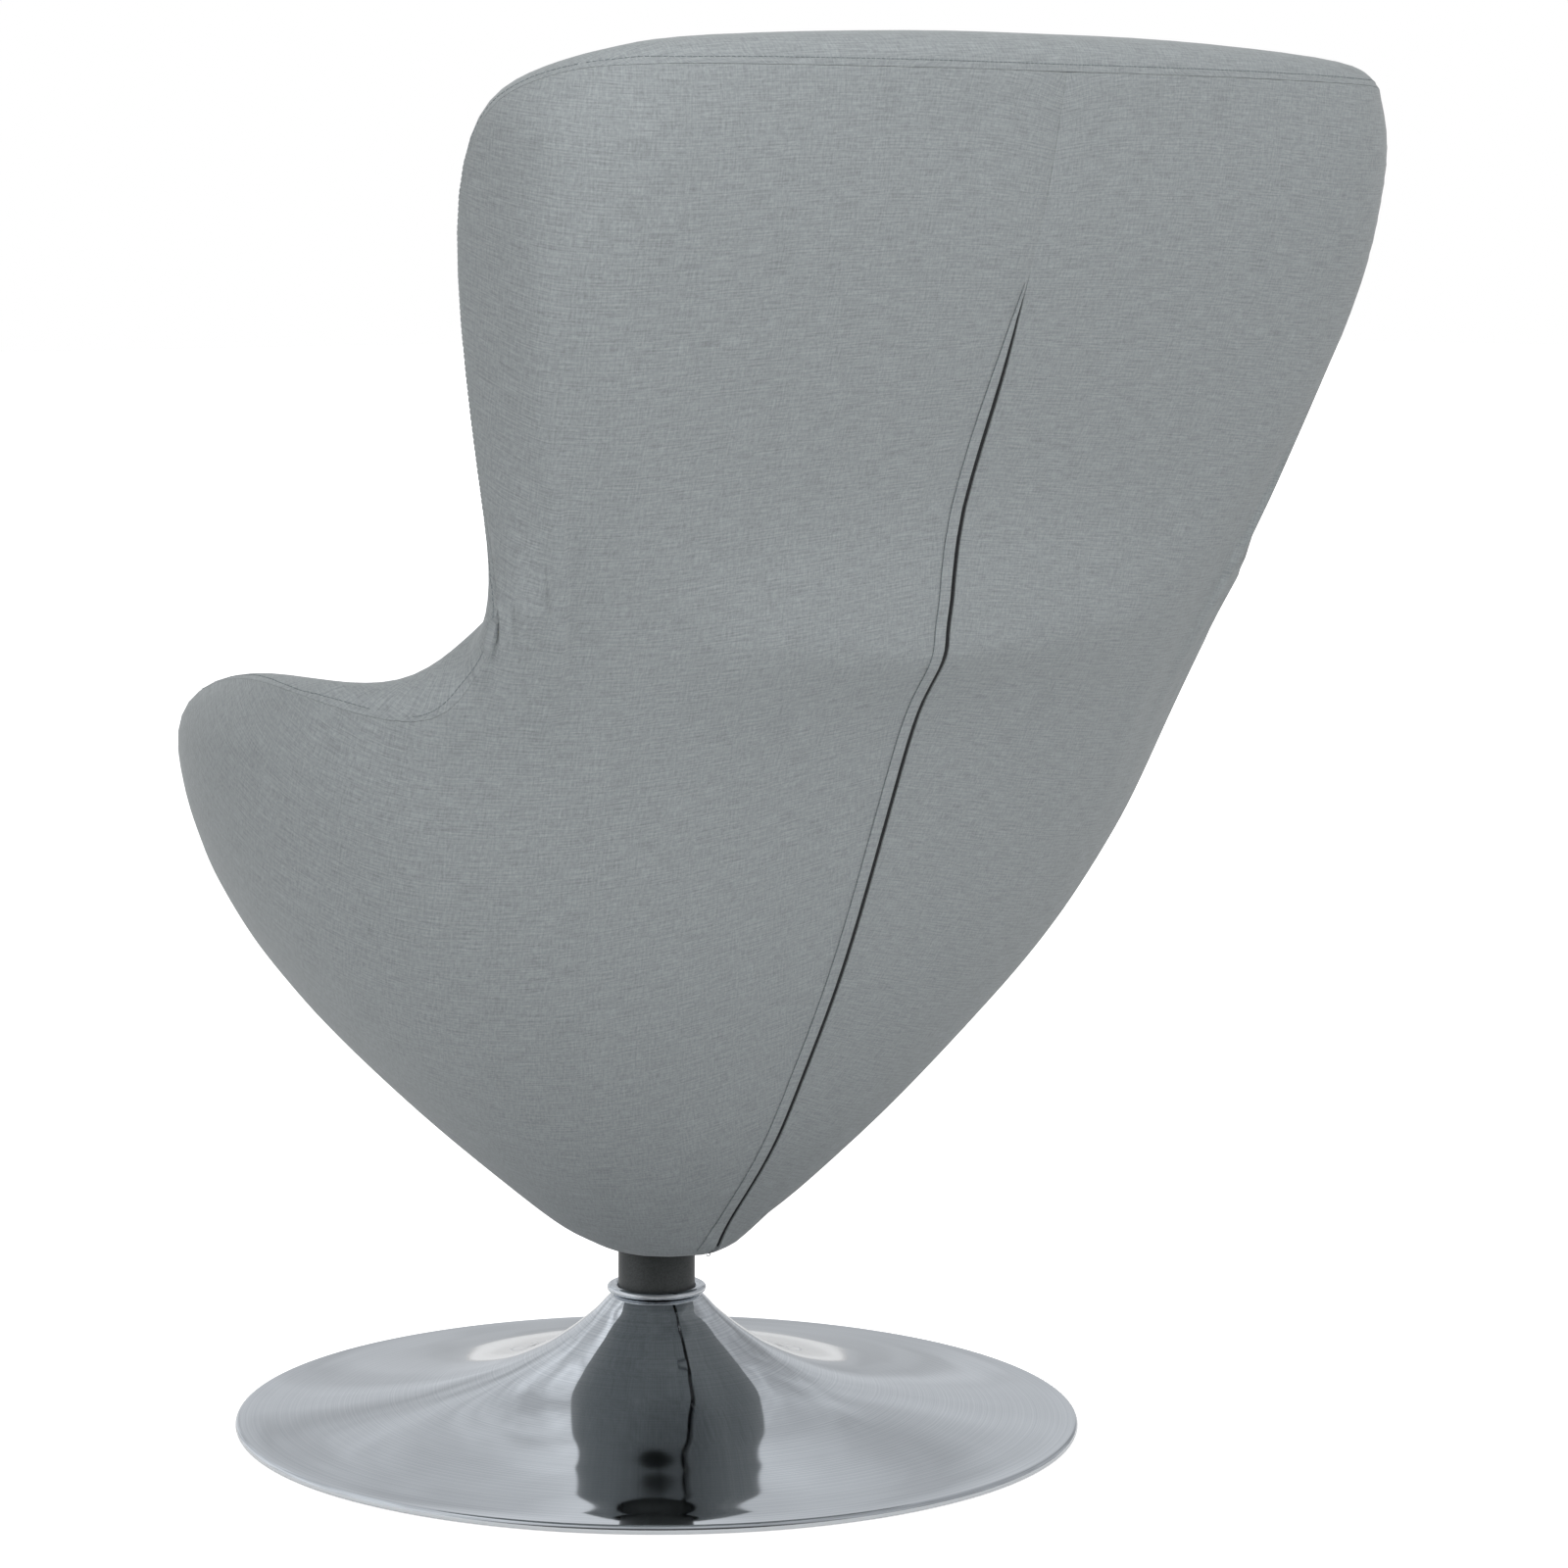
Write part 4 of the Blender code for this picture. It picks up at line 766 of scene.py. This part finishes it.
soft = lap.modifiers.new("folded edge", "BEVEL")
soft.width = LAP_THICKNESS / 3
soft.segments = 2
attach(lap, "seat")
print("lap rows:", LAP_ROWS)

# %% [markdown]
# The zip is black nylon: a woven tape that lines the slit, and teeth coiled from a round thread.
# Nylon is smooth and half dull. Its ribs are drawn 1.1 mm apart, coarser than real ones.
# The tape is a strip folded to a trough, so a flat grid of three faces across is moved onto the
# trough's corners at each height. A ray towards the left fold gives the slit's width there.

# %% Zip tape
nylon = grained("coiled_black_nylon", "#17181A", "#2A2C2E", 1 / 900, 1.0, 0.3, 0.0003,
                Roughness=0.5)


FOLD_DEPTH = 0.0025              # the slit's width is taken this deep under the face
SLOT_REACH = 0.02
SLOT_CLOSED = 0.0004             # half the slit's width where no fold is met


def slot_frame(z):
    """The face beside the slot, its upright normal, and half the slot's width between the folds."""
    place, normal = on_panel(SLOT_EDGE, z)
    out = Vector((0, normal.y, normal.z)).normalized()
    start = Vector((0, place.y, place.z)) - FOLD_DEPTH * out
    wall = faces["left"].ray_cast(start, Vector((1, 0, 0)), SLOT_REACH)[0]
    return Vector((0, place.y, place.z)), out, wall.x if wall else SLOT_CLOSED


TAPE_THICKNESS = 0.0002
TAPE_LEAST = 0.0001
TAPE_SECTION = ((-1, 0.0009), (-1, 0.0042), (1, 0.0042), (1, 0.0009))   # side and depth
TAPE_ROWS = 240
TAPE_SHARE = 0.985               # of the zip's length
tape = bmesh.new()
bmesh.ops.create_grid(tape, x_segments=len(TAPE_SECTION) - 1, y_segments=TAPE_ROWS, size=0.5,
                      calc_uvs=False)
for vertex in tape.verts:
    side, depth = TAPE_SECTION[round((vertex.co.x + 0.5) * (len(TAPE_SECTION) - 1))]
    row = round((vertex.co.y + 0.5) * TAPE_ROWS)
    place, out, half = slot_frame(height_at(row / TAPE_ROWS * TAPE_SHARE))
    half = max(half - TAPE_THICKNESS, TAPE_LEAST)
    vertex.co = place - depth * out + Vector((side * half, 0, 0))
bmesh.ops.recalc_face_normals(tape, faces=tape.faces)
floor_face = min(tape.faces, key=lambda face: abs(face.normal.x))
if floor_face.normal.y < 0:
    bmesh.ops.reverse_faces(tape, faces=tape.faces)
tape = to_object("zip_tape", tape, nylon)
thick = tape.modifiers.new("thickness", "SOLIDIFY")
thick.thickness = TAPE_THICKNESS
thick.offset = 1
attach(tape, "seat")
print("tape rows:", TAPE_ROWS)

# %% [markdown]
# The teeth lie on the tape in turn from the left and from the right, one every 2 mm. There are
# hundreds and they are under a millimetre thick, so each is a small block of six faces.

# %% Teeth
TOOTH = (0.0026, 0.0009, 0.0009)
TOOTH_PITCH = 0.002
TOOTH_DEPTH = 0.0041
TOOTH_SIDE = 0.0009
TEETH_SHARE = 0.93               # of the zip's length
teeth = bmesh.new()
tooth_count = int(way[-1] * TEETH_SHARE / TOOTH_PITCH)
for number in range(tooth_count):
    place, normal = on_panel(SLOT_EDGE, height_at((number + 1) * TOOTH_PITCH / way[-1]))
    side = TOOTH_SIDE if number % 2 else -TOOTH_SIDE
    spot = Vector((side, place.y, place.z)) - TOOTH_DEPTH * normal
    run = normal.cross(Vector((1, 0, 0)))
    turn = Vector((0, 0, 1)).rotation_difference(run).to_matrix().to_4x4()
    bmesh.ops.create_cube(teeth, size=1,
                          matrix=Matrix.Translation(spot) @ turn @ Matrix.Diagonal((*TOOTH, 1)))
teeth = to_object("zip_teeth", teeth, nylon)
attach(teeth, "seat")
print("teeth:", tooth_count)

# %% [markdown]
# ## Stitching
# Two rows of thread show from outside: one on the padded edge, 5 mm above the seam, and one along
# the lap. A sewing machine sets them evenly, so points are laid at even steps along a smooth curve.

# %% Points at even steps
CURVE_STEPS = 12


def evenly(points, step, closed=False):
    """Points at even steps along a smooth curve through the given ones."""
    points = np.array(points)
    if closed:
        padded = np.concatenate([points[-1:], points, points[:2]])
    else:
        padded = np.concatenate([2 * points[:1] - points[1:2], points,
                                 2 * points[-1:] - points[-2:-1]])
    curve = []
    for a, b, c, d in zip(padded, padded[1:], padded[2:], padded[3:]):
        for t in np.linspace(0, 1, CURVE_STEPS, endpoint=False):
            curve.append(0.5 * (2 * b + (c - a) * t + (2 * a - 5 * b + 4 * c - d) * t * t
                                + (3 * b - a - 3 * c + d) * t ** 3))
    curve = np.array(curve + [padded[-2]])
    ways = np.concatenate([[0], np.cumsum(np.linalg.norm(np.diff(curve, axis=0), axis=1))])
    count = int(ways[-1] / step)
    stops = np.arange(count) * ways[-1] / count
    return np.stack([np.interp(stops, ways, curve[:, i]) for i in range(3)], -1)


# %% [markdown]
# Each stitch is a short round peg that is sunk a little into the cloth. A peg has only a few faces,
# because there are hundreds.

# %% Stitches
STITCH_PITCH = 0.0042
STITCH_LENGTH = 0.0030
THREAD_RADIUS = 0.00028
THREAD_OUT = 0.4                 # the stitch's middle stands out by this share of its radius
thread = grained("twisted_polyester_thread", "#6A7376", "#8A9396", 1 / 1200, 1.0, 0,
                 Roughness=0.7)


def stitched(name, places, surface):
    """A row of stitches on a surface, with its points at even steps."""
    near = face_tree(surface)
    row = bmesh.new()
    for here, there in zip(places, places[1:]):
        spot, normal, _, _ = near.find_nearest(Vector((here + there) / 2))
        run = Vector(there - here).normalized()
        turn = Vector((0, 0, 1)).rotation_difference(run).to_matrix().to_4x4()
        middle = spot + THREAD_RADIUS * THREAD_OUT * normal
        bmesh.ops.create_cone(row, cap_ends=True, segments=6, radius1=THREAD_RADIUS,
                              radius2=THREAD_RADIUS, depth=STITCH_LENGTH,
                              matrix=Matrix.Translation(middle) @ turn)
    made = to_object(name, row, thread)
    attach(made, "seat")
    print(name, len(places) - 1, "stitches")


stitched("edge_stitching", evenly(seam_loop, STITCH_PITCH, closed=True), lining)
lap_line = [np.array(spot) for along, spot in sorted(lap_edge, key=lambda row: row[0])]
stitched("lap_stitching", evenly(lap_line, STITCH_PITCH), lap)

# %% [markdown]
# ## The loose cushion
# The cushion is soft foam in a sewn case: a crowned top, a side band and piping in the seams
# between them. It could be swollen by cloth simulation. The measured solid already has that form,
# so a merged copy is subdivided. The case is cut into its pieces along the seams, and unwrapped.

# %% Cushion
CUSHION_SEAMS = (0.017, 0.083)   # above the cushion's lowest point
SEAM_NEAR = 0.008
SEAM_LEVEL = 0.002
block = merged_copy("seat_cushion")
low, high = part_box("seat_cushion")
print("cushion from", round(low.z, 3), "to", round(high.z, 3))
cushion = to_object("loose_cushion", block, grey_cloth)
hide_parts("seat_cushion")
seam_heights = [low.z + above for above in CUSHION_SEAMS]
case = bmesh.new()
case.from_mesh(cushion.data)
for edge in case.edges:
    rims = [min(abs(vertex.co.z - seam) for seam in seam_heights) for vertex in edge.verts]
    level = abs(edge.verts[0].co.z - edge.verts[1].co.z) < SEAM_LEVEL
    edge.seam = max(rims) < SEAM_NEAR and level
case.to_mesh(cushion.data)
case.free()
lay_flat(cushion)
smooth = cushion.modifiers.new("smooth", "SUBSURF")
smooth.levels = smooth.render_levels = 3
hold_shape(cushion, rounds=1)
applied(cushion)
print("cushion:", len(cushion.data.polygons), "faces")
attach(cushion, "cushion")


# %% [markdown]
# The piping is a round cord in cloth cut on the bias, sewn into each seam. Rays from all round find
# the seam on the cushion, and a round section is swept along these points.

# %% Piping
PIPING_RADIUS = 0.0032
PIPING_OUT = 0.2                 # its middle stands out by this share of its radius
PIPING_STEPS = 160
PIPING_RUN = 0.24                # the ring's mean radius, which gives the weave its length


def piping(name, height, surface):
    """A cord in cloth cut on the bias, laid round the cushion at a height, sunk a little."""
    near = face_tree(surface)
    ring = []
    for step in range(PIPING_STEPS):
        angle = 2 * pi * step / PIPING_STEPS
        way = Vector((sin(angle), cos(angle), 0))
        spot, normal, _, _ = near.ray_cast(Vector((0, 0, height)) + way, -way)
        ring.append(spot + PIPING_RADIUS * PIPING_OUT * normal)
    path = bpy.data.curves.new(name, "CURVE")
    path.dimensions = "3D"
    path.bevel_depth = PIPING_RADIUS
    path.bevel_resolution = 3
    spline = path.splines.new("POLY")
    spline.points.add(len(ring) - 1)
    spline.points.foreach_set("co", [value for spot in ring for value in (*spot, 1)])
    spline.use_cyclic_u = True
    swept = bpy.data.objects.new(name + "_path", path)
    mesh = bpy.data.meshes.new_from_object(swept)
    bpy.data.objects.remove(swept)
    build = bmesh.new()
    build.from_mesh(mesh)
    bmesh.ops.remove_doubles(build, verts=build.verts[:], dist=0.00001)
    bmesh.ops.recalc_face_normals(build, faces=build.faces)
    weave = build.loops.layers.uv.new("weave")
    for face in build.faces:
        for loop in face.loops:
            spot = loop.vert.co
            along = PIPING_RUN * np.arctan2(spot.x, spot.y)
            loop[weave].uv = (along + spot.z, along - spot.z)
    cord = to_object(name, build, grey_cloth)
    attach(cord, "cushion")
    print(name, "at", round(height, 3))


for number, height in enumerate(seam_heights):
    piping("cushion_piping_" + str(number + 1), height, cushion)

# %% [markdown]
# ## Turned metal
# The base is spun: a disc of steel is pressed over a turning form, its rim is rolled under, and
# it is polished and chrome plated. Turned work is a profile swept once round the axis, so the
# profile's points are joined by a smooth curve and spun in 160 steps. Fewer steps would show as
# flats in the mirror.

# %% Helper for turned pieces
TURN_STEPS = 160
TURNED_SHARP = radians(50)


def spun(name, profile, made, node):
    """Spins a closed profile of (radius, height) points round the axis, in place of a node."""
    build = bmesh.new()
    ring = [build.verts.new((radius, 0, height)) for radius, height in profile]
    edges = [build.edges.new((one, two)) for one, two in zip(ring, ring[1:] + ring[:1])]
    bmesh.ops.spin(build, geom=ring + edges, cent=(0, 0, 0), axis=(0, 0, 1), angle=2 * pi,
                   steps=TURN_STEPS, use_merge=True)
    bmesh.ops.remove_doubles(build, verts=build.verts[:], dist=0.000001)
    bmesh.ops.recalc_face_normals(build, faces=build.faces)
    obj = to_object(name, build, made)
    obj.data.set_sharp_from_angle(angle=TURNED_SHARP)
    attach(obj, "base")
    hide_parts(node)
    print(name, len(obj.data.polygons), "faces")


# %% [markdown]
# ## Finishes of the metal
# Decorative chrome over polished steel is a nearly perfect mirror with a cool tint. Polishing
# leaves very fine rings round the axis, and the spun form keeps slow waves that bend reflections.
# The waves are about 140 mm long. The rings are drawn 1.4 mm apart, as real ones are too fine to
# show. The column is steel with a satin black powder coat: a plastic skin with an orange peel that
# is about 1.6 mm wide.

# %% Chrome and powder coat
chrome, tree, shader = new_finish("mirror_chrome_plate", Metallic=1.0, Roughness=0.045)
place = add_node(tree, "ShaderNodeTexCoord").outputs["Object"]
waves = add_node(tree, "ShaderNodeTexNoise", Vector=place, Scale=7.0, Detail=1.0)
flat_place = add_node(tree, "ShaderNodeVectorMath", {"operation": "MULTIPLY"}, _0=place,
                      _1=(1, 1, 0))
radius = add_node(tree, "ShaderNodeVectorMath", {"operation": "LENGTH"}, _0=flat_place.outputs[0])
rings = add_node(tree, "ShaderNodeTexNoise", {"noise_dimensions": "1D"}, W=radius.outputs["Value"],
                 Scale=700.0, Detail=2.0)
both = add_node(tree, "ShaderNodeMix", _0=0.008, _2=waves.outputs["Fac"], _3=rings.outputs["Fac"])
bump = add_node(tree, "ShaderNodeBump", Strength=0.06, Distance=0.004, Height=both.outputs[0])
tree.links.new(bump.outputs[0], shader.inputs["Normal"])
tone = two_tone(tree, rings.outputs["Fac"], "#C9CDD1", "#D6D9DC")
tree.links.new(tone, shader.inputs["Base Color"])
black_coat = grained("satin_black_powder_coat", "#323535", "#3E4141", 0.0016, 2.0, 0.25, 0.0002,
                     Roughness=0.42)
print("finishes made:", chrome.name, black_coat.name)

# %% [markdown]
# ## Trumpet, ring and column
# The trumpet's outside follows the measured profile, as radius and height shares from the neck
# to the rolled bead at the rim. The wall is 1.5 mm, made by moving the profile sideways.

# %% Trumpet
BEAD_RADIUS = 0.0034
BEAD_HEIGHT = 0.0044
BASE_RADIUS = 0.330
RIM_RADIUS = BASE_RADIUS - BEAD_RADIUS
NECK_RADIUS = 0.034
BASE_TOP = 0.104
WALL = 0.0015
PROFILE_SHARES = ((0.0, 1.0), (0.022, 0.935), (0.047, 0.855), (0.080, 0.770), (0.130, 0.655),
                  (0.205, 0.515), (0.320, 0.365), (0.470, 0.240), (0.640, 0.148), (0.810, 0.082),
                  (0.940, 0.048))
PROFILE_STEP = 0.004
outside = [(NECK_RADIUS + out * (RIM_RADIUS - NECK_RADIUS), 0,
            BEAD_HEIGHT + up * (BASE_TOP - BEAD_HEIGHT)) for out, up in PROFILE_SHARES]
outside = evenly(outside, PROFILE_STEP)[:, [0, 2]]
run = np.gradient(outside, axis=0)
away = np.stack([run[:, 1], -run[:, 0]], -1) / np.linalg.norm(run, axis=1, keepdims=True)
inside = (outside + WALL * away)[::-1]
bead = [(RIM_RADIUS + BEAD_RADIUS * cos(turn), BEAD_HEIGHT + BEAD_RADIUS * sin(turn))
        for turn in np.radians(np.linspace(100, -150, 15))]
inside[-1] = (NECK_RADIUS - WALL, BASE_TOP)
spun("spun_trumpet", [tuple(p) for p in outside] + bead + [tuple(p) for p in inside], chrome,
     "trumpet")

# %% [markdown]
# The ring on top of the trumpet hides where the column goes in. It is a wire of an oval section.

# %% Ring
COLLAR_BORE = 0.0303
low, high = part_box("neck_ring")
wire = ((high.x - COLLAR_BORE) / 2, (high.z - low.z) / 2)
collar = [(high.x - wire[0] + wire[0] * cos(turn), (low.z + high.z) / 2 + wire[1] * sin(turn))
          for turn in np.linspace(0, 2 * pi, 24, endpoint=False)]
spun("collar_ring", collar, chrome, "neck_ring")

# %% [markdown]
# The column is a tube. Its upper edge is rounded in a few steps, as a lathe tool breaks it.

# %% Column
COLUMN_BORE = 0.028
COLUMN_RADIUS = 0.030
low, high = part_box("column_tube")
tube = [(COLUMN_BORE, low.z), (COLUMN_RADIUS, low.z), (COLUMN_RADIUS, high.z - 0.0006),
        (COLUMN_RADIUS - 0.0003, high.z - 0.0002), (COLUMN_RADIUS - 0.0009, high.z),
        (COLUMN_BORE, high.z)]
spun("black_column", tube, black_coat, "column_tube")

# %% [markdown]
# ## Finishes of the parts inside
# Zinc-plated steel is grey with a fine spangle, acetal bushes are milky and smooth, glass fibre
# is a yellowish laminate with strands, and the floor pad is dense black felt.

# %% Inner finishes
finishes = {
    "zinc_steel": grained("zinc_plated_steel", "#A9ABAC", "#C2C4C6", 0.0025, Metallic=1.0,
                          Roughness=0.32),
    "bearing_plastic": grained("moulded_acetal", "#E4E3DC", "#EDECE6", 0.002, Roughness=0.35),
    "glass_fibre": grained("glass_fibre_laminate", "#AFA77F", "#C8C19C", 0.004, Roughness=0.5),
    "floor_felt": grained("dense_wool_felt", "#161616", "#2B2B2B", 0.0012, Roughness=0.95),
    "satin_black": black_coat,
    "bright_chrome": chrome,
    "zip_nylon": nylon,
}
slots = {row["node"]: row["material_slot"] for row in frame["record"]["subparts"]}
for name, node in frame["nodes"].items():
    if slots[name] in finishes:
        node.data.materials.clear()
        node.data.materials.append(finishes[slots[name]])
print("finished nodes:", sum(slot in finishes for slot in slots.values()))

# %% [markdown]
# ## The studio
# The photograph was lit softly from above on a white ground, and its floor fades into the white.
# The floor is a real surface that catches the chair's shadow. For the camera and for mirrors it
# also glows a little, so that the ground is white without more light on the cloth.

# %% Floor
FLOOR_REACH = 30
FLOOR_GLOW = 0.90
MIRRORED_GLOW = 0.2              # the share of it that mirrors show
white_ground, tree, shader = new_finish("white_studio_floor", Base_Color=(0.8, 0.8, 0.8, 1),
                                        Roughness=0.9)
seen = add_node(tree, "ShaderNodeLightPath")
mirrored = add_node(tree, "ShaderNodeMath", {"operation": "MULTIPLY"},
                    _0=seen.outputs["Is Glossy Ray"], _1=MIRRORED_GLOW)
direct = add_node(tree, "ShaderNodeMath", {"operation": "MAXIMUM"},
                  _0=seen.outputs["Is Camera Ray"], _1=mirrored.outputs[0])
direct = add_node(tree, "ShaderNodeMath", {"operation": "MAXIMUM"}, _0=direct.outputs[0],
                  _1=seen.outputs["Is Transmission Ray"])
strength = add_node(tree, "ShaderNodeMath", {"operation": "MULTIPLY"}, _0=direct.outputs[0],
                    _1=FLOOR_GLOW)
shader.inputs["Emission Color"].default_value = (1, 1, 1, 1)
tree.links.new(strength.outputs[0], shader.inputs["Emission Strength"])
build = bmesh.new()
bmesh.ops.create_grid(build, x_segments=2, y_segments=2, size=FLOOR_REACH)
floor = to_object("studio_floor", build, white_ground)
print("floor:", 2 * FLOOR_REACH, "m wide")

# %% [markdown]
# The sky is white to the camera and plain grey light on the cloth. Mirrors see a studio instead:
# it is dark behind the camera, a little darker at the far wall, brighter on one side, and patchy
# all over, because a real room is never even. The chrome shows that.

# %% Sky
PLAIN_LIGHT = 0.48
sky = bpy.data.worlds.new("white_studio")
bpy.context.scene.world = sky
sky.use_nodes = True
tree = sky.node_tree
tree.nodes.clear()
seen = add_node(tree, "ShaderNodeLightPath")
way = add_node(tree, "ShaderNodeTexCoord").outputs["Generated"]
toward = add_node(tree, "ShaderNodeVectorMath", {"operation": "DOT_PRODUCT"}, _0=way,
                  _1=(sin(azimuth), -cos(azimuth), 0))
dark_room = add_node(tree, "ShaderNodeMapRange", {"interpolation_type": "SMOOTHSTEP"},
                     _0=toward.outputs["Value"], _1=0.55, _2=0.90, _3=1.0, _4=0.12)
far_wall = add_node(tree, "ShaderNodeMapRange", {"interpolation_type": "SMOOTHSTEP"},
                    _0=toward.outputs["Value"], _1=-0.98, _2=-0.70, _3=0.92, _4=1.0)
across = add_node(tree, "ShaderNodeVectorMath", {"operation": "DOT_PRODUCT"}, _0=way,
                  _1=(-cos(azimuth), -sin(azimuth), 0))
side_wall = add_node(tree, "ShaderNodeMapRange", _0=across.outputs["Value"], _1=-0.5, _2=0.5,
                     _3=0.50, _4=0.88)
clouds = add_node(tree, "ShaderNodeTexNoise", Vector=way, Scale=2.6, Detail=4.0, Distortion=1.6)
patches = add_node(tree, "ShaderNodeMapRange", _0=clouds.outputs["Fac"], _1=0.35, _2=0.65,
                   _3=0.72, _4=1.22)
room_light = dark_room
for part in (far_wall, side_wall, patches):
    room_light = add_node(tree, "ShaderNodeMath", {"operation": "MULTIPLY"},
                          _0=room_light.outputs[0], _1=part.outputs[0])
room = add_node(tree, "ShaderNodeBackground", Color=(0.93, 0.96, 1, 1),
                Strength=room_light.outputs[0])
plain = add_node(tree, "ShaderNodeBackground", Color=(1, 1, 1, 1), Strength=PLAIN_LIGHT)
white = add_node(tree, "ShaderNodeBackground", Color=(1, 1, 1, 1), Strength=1.0)
lit = add_node(tree, "ShaderNodeMixShader", _0=seen.outputs["Is Glossy Ray"], _1=plain.outputs[0],
               _2=room.outputs[0])
shown = add_node(tree, "ShaderNodeMixShader", _0=seen.outputs["Is Camera Ray"], _1=lit.outputs[0],
                 _2=white.outputs[0])
add_node(tree, "ShaderNodeOutputWorld", Surface=shown.outputs[0])
print("sky:", len(tree.nodes), "nodes")

# %% [markdown]
# ## Lamps
# A large soft lamp high behind the chair, to the camera's right, gives the form. A weaker one on
# the left lights the arm, a low one lifts the underside, and one before the chair lights the bowl.
# Mirrors don't see them, so that the chrome shows the room alone.

# %% Soft lamps
LAMP_AIM = Vector((0, 0, 0.5))


def soft_lamp(name, degrees_round, height, distance, size, power):
    """A square lamp that looks at the chair, placed by its angle round the chair from the front."""
    lamp = bpy.data.lights.new(name, "AREA")
    lamp.energy = power
    lamp.size = size
    obj = bpy.data.objects.new(name, lamp)
    obj.visible_glossy = False
    turn = radians(degrees_round)
    obj.location = (distance * sin(turn), -distance * cos(turn), height)
    obj.rotation_mode = "QUATERNION"
    obj.rotation_quaternion = (obj.location - LAMP_AIM).to_track_quat("Z", "Y")
    bpy.context.scene.collection.objects.link(obj)
    print(name, power, "W")


soft_lamp("key_lamp", 165, 3.1, 2.2, 1.2, 40)
soft_lamp("side_lamp", 100, 2.2, 2.8, 1.6, 16)
soft_lamp("low_lamp", 160, 0.5, 3.2, 1.6, 14)
soft_lamp("front_lamp", 350, 2.2, 2.6, 1.6, 24)
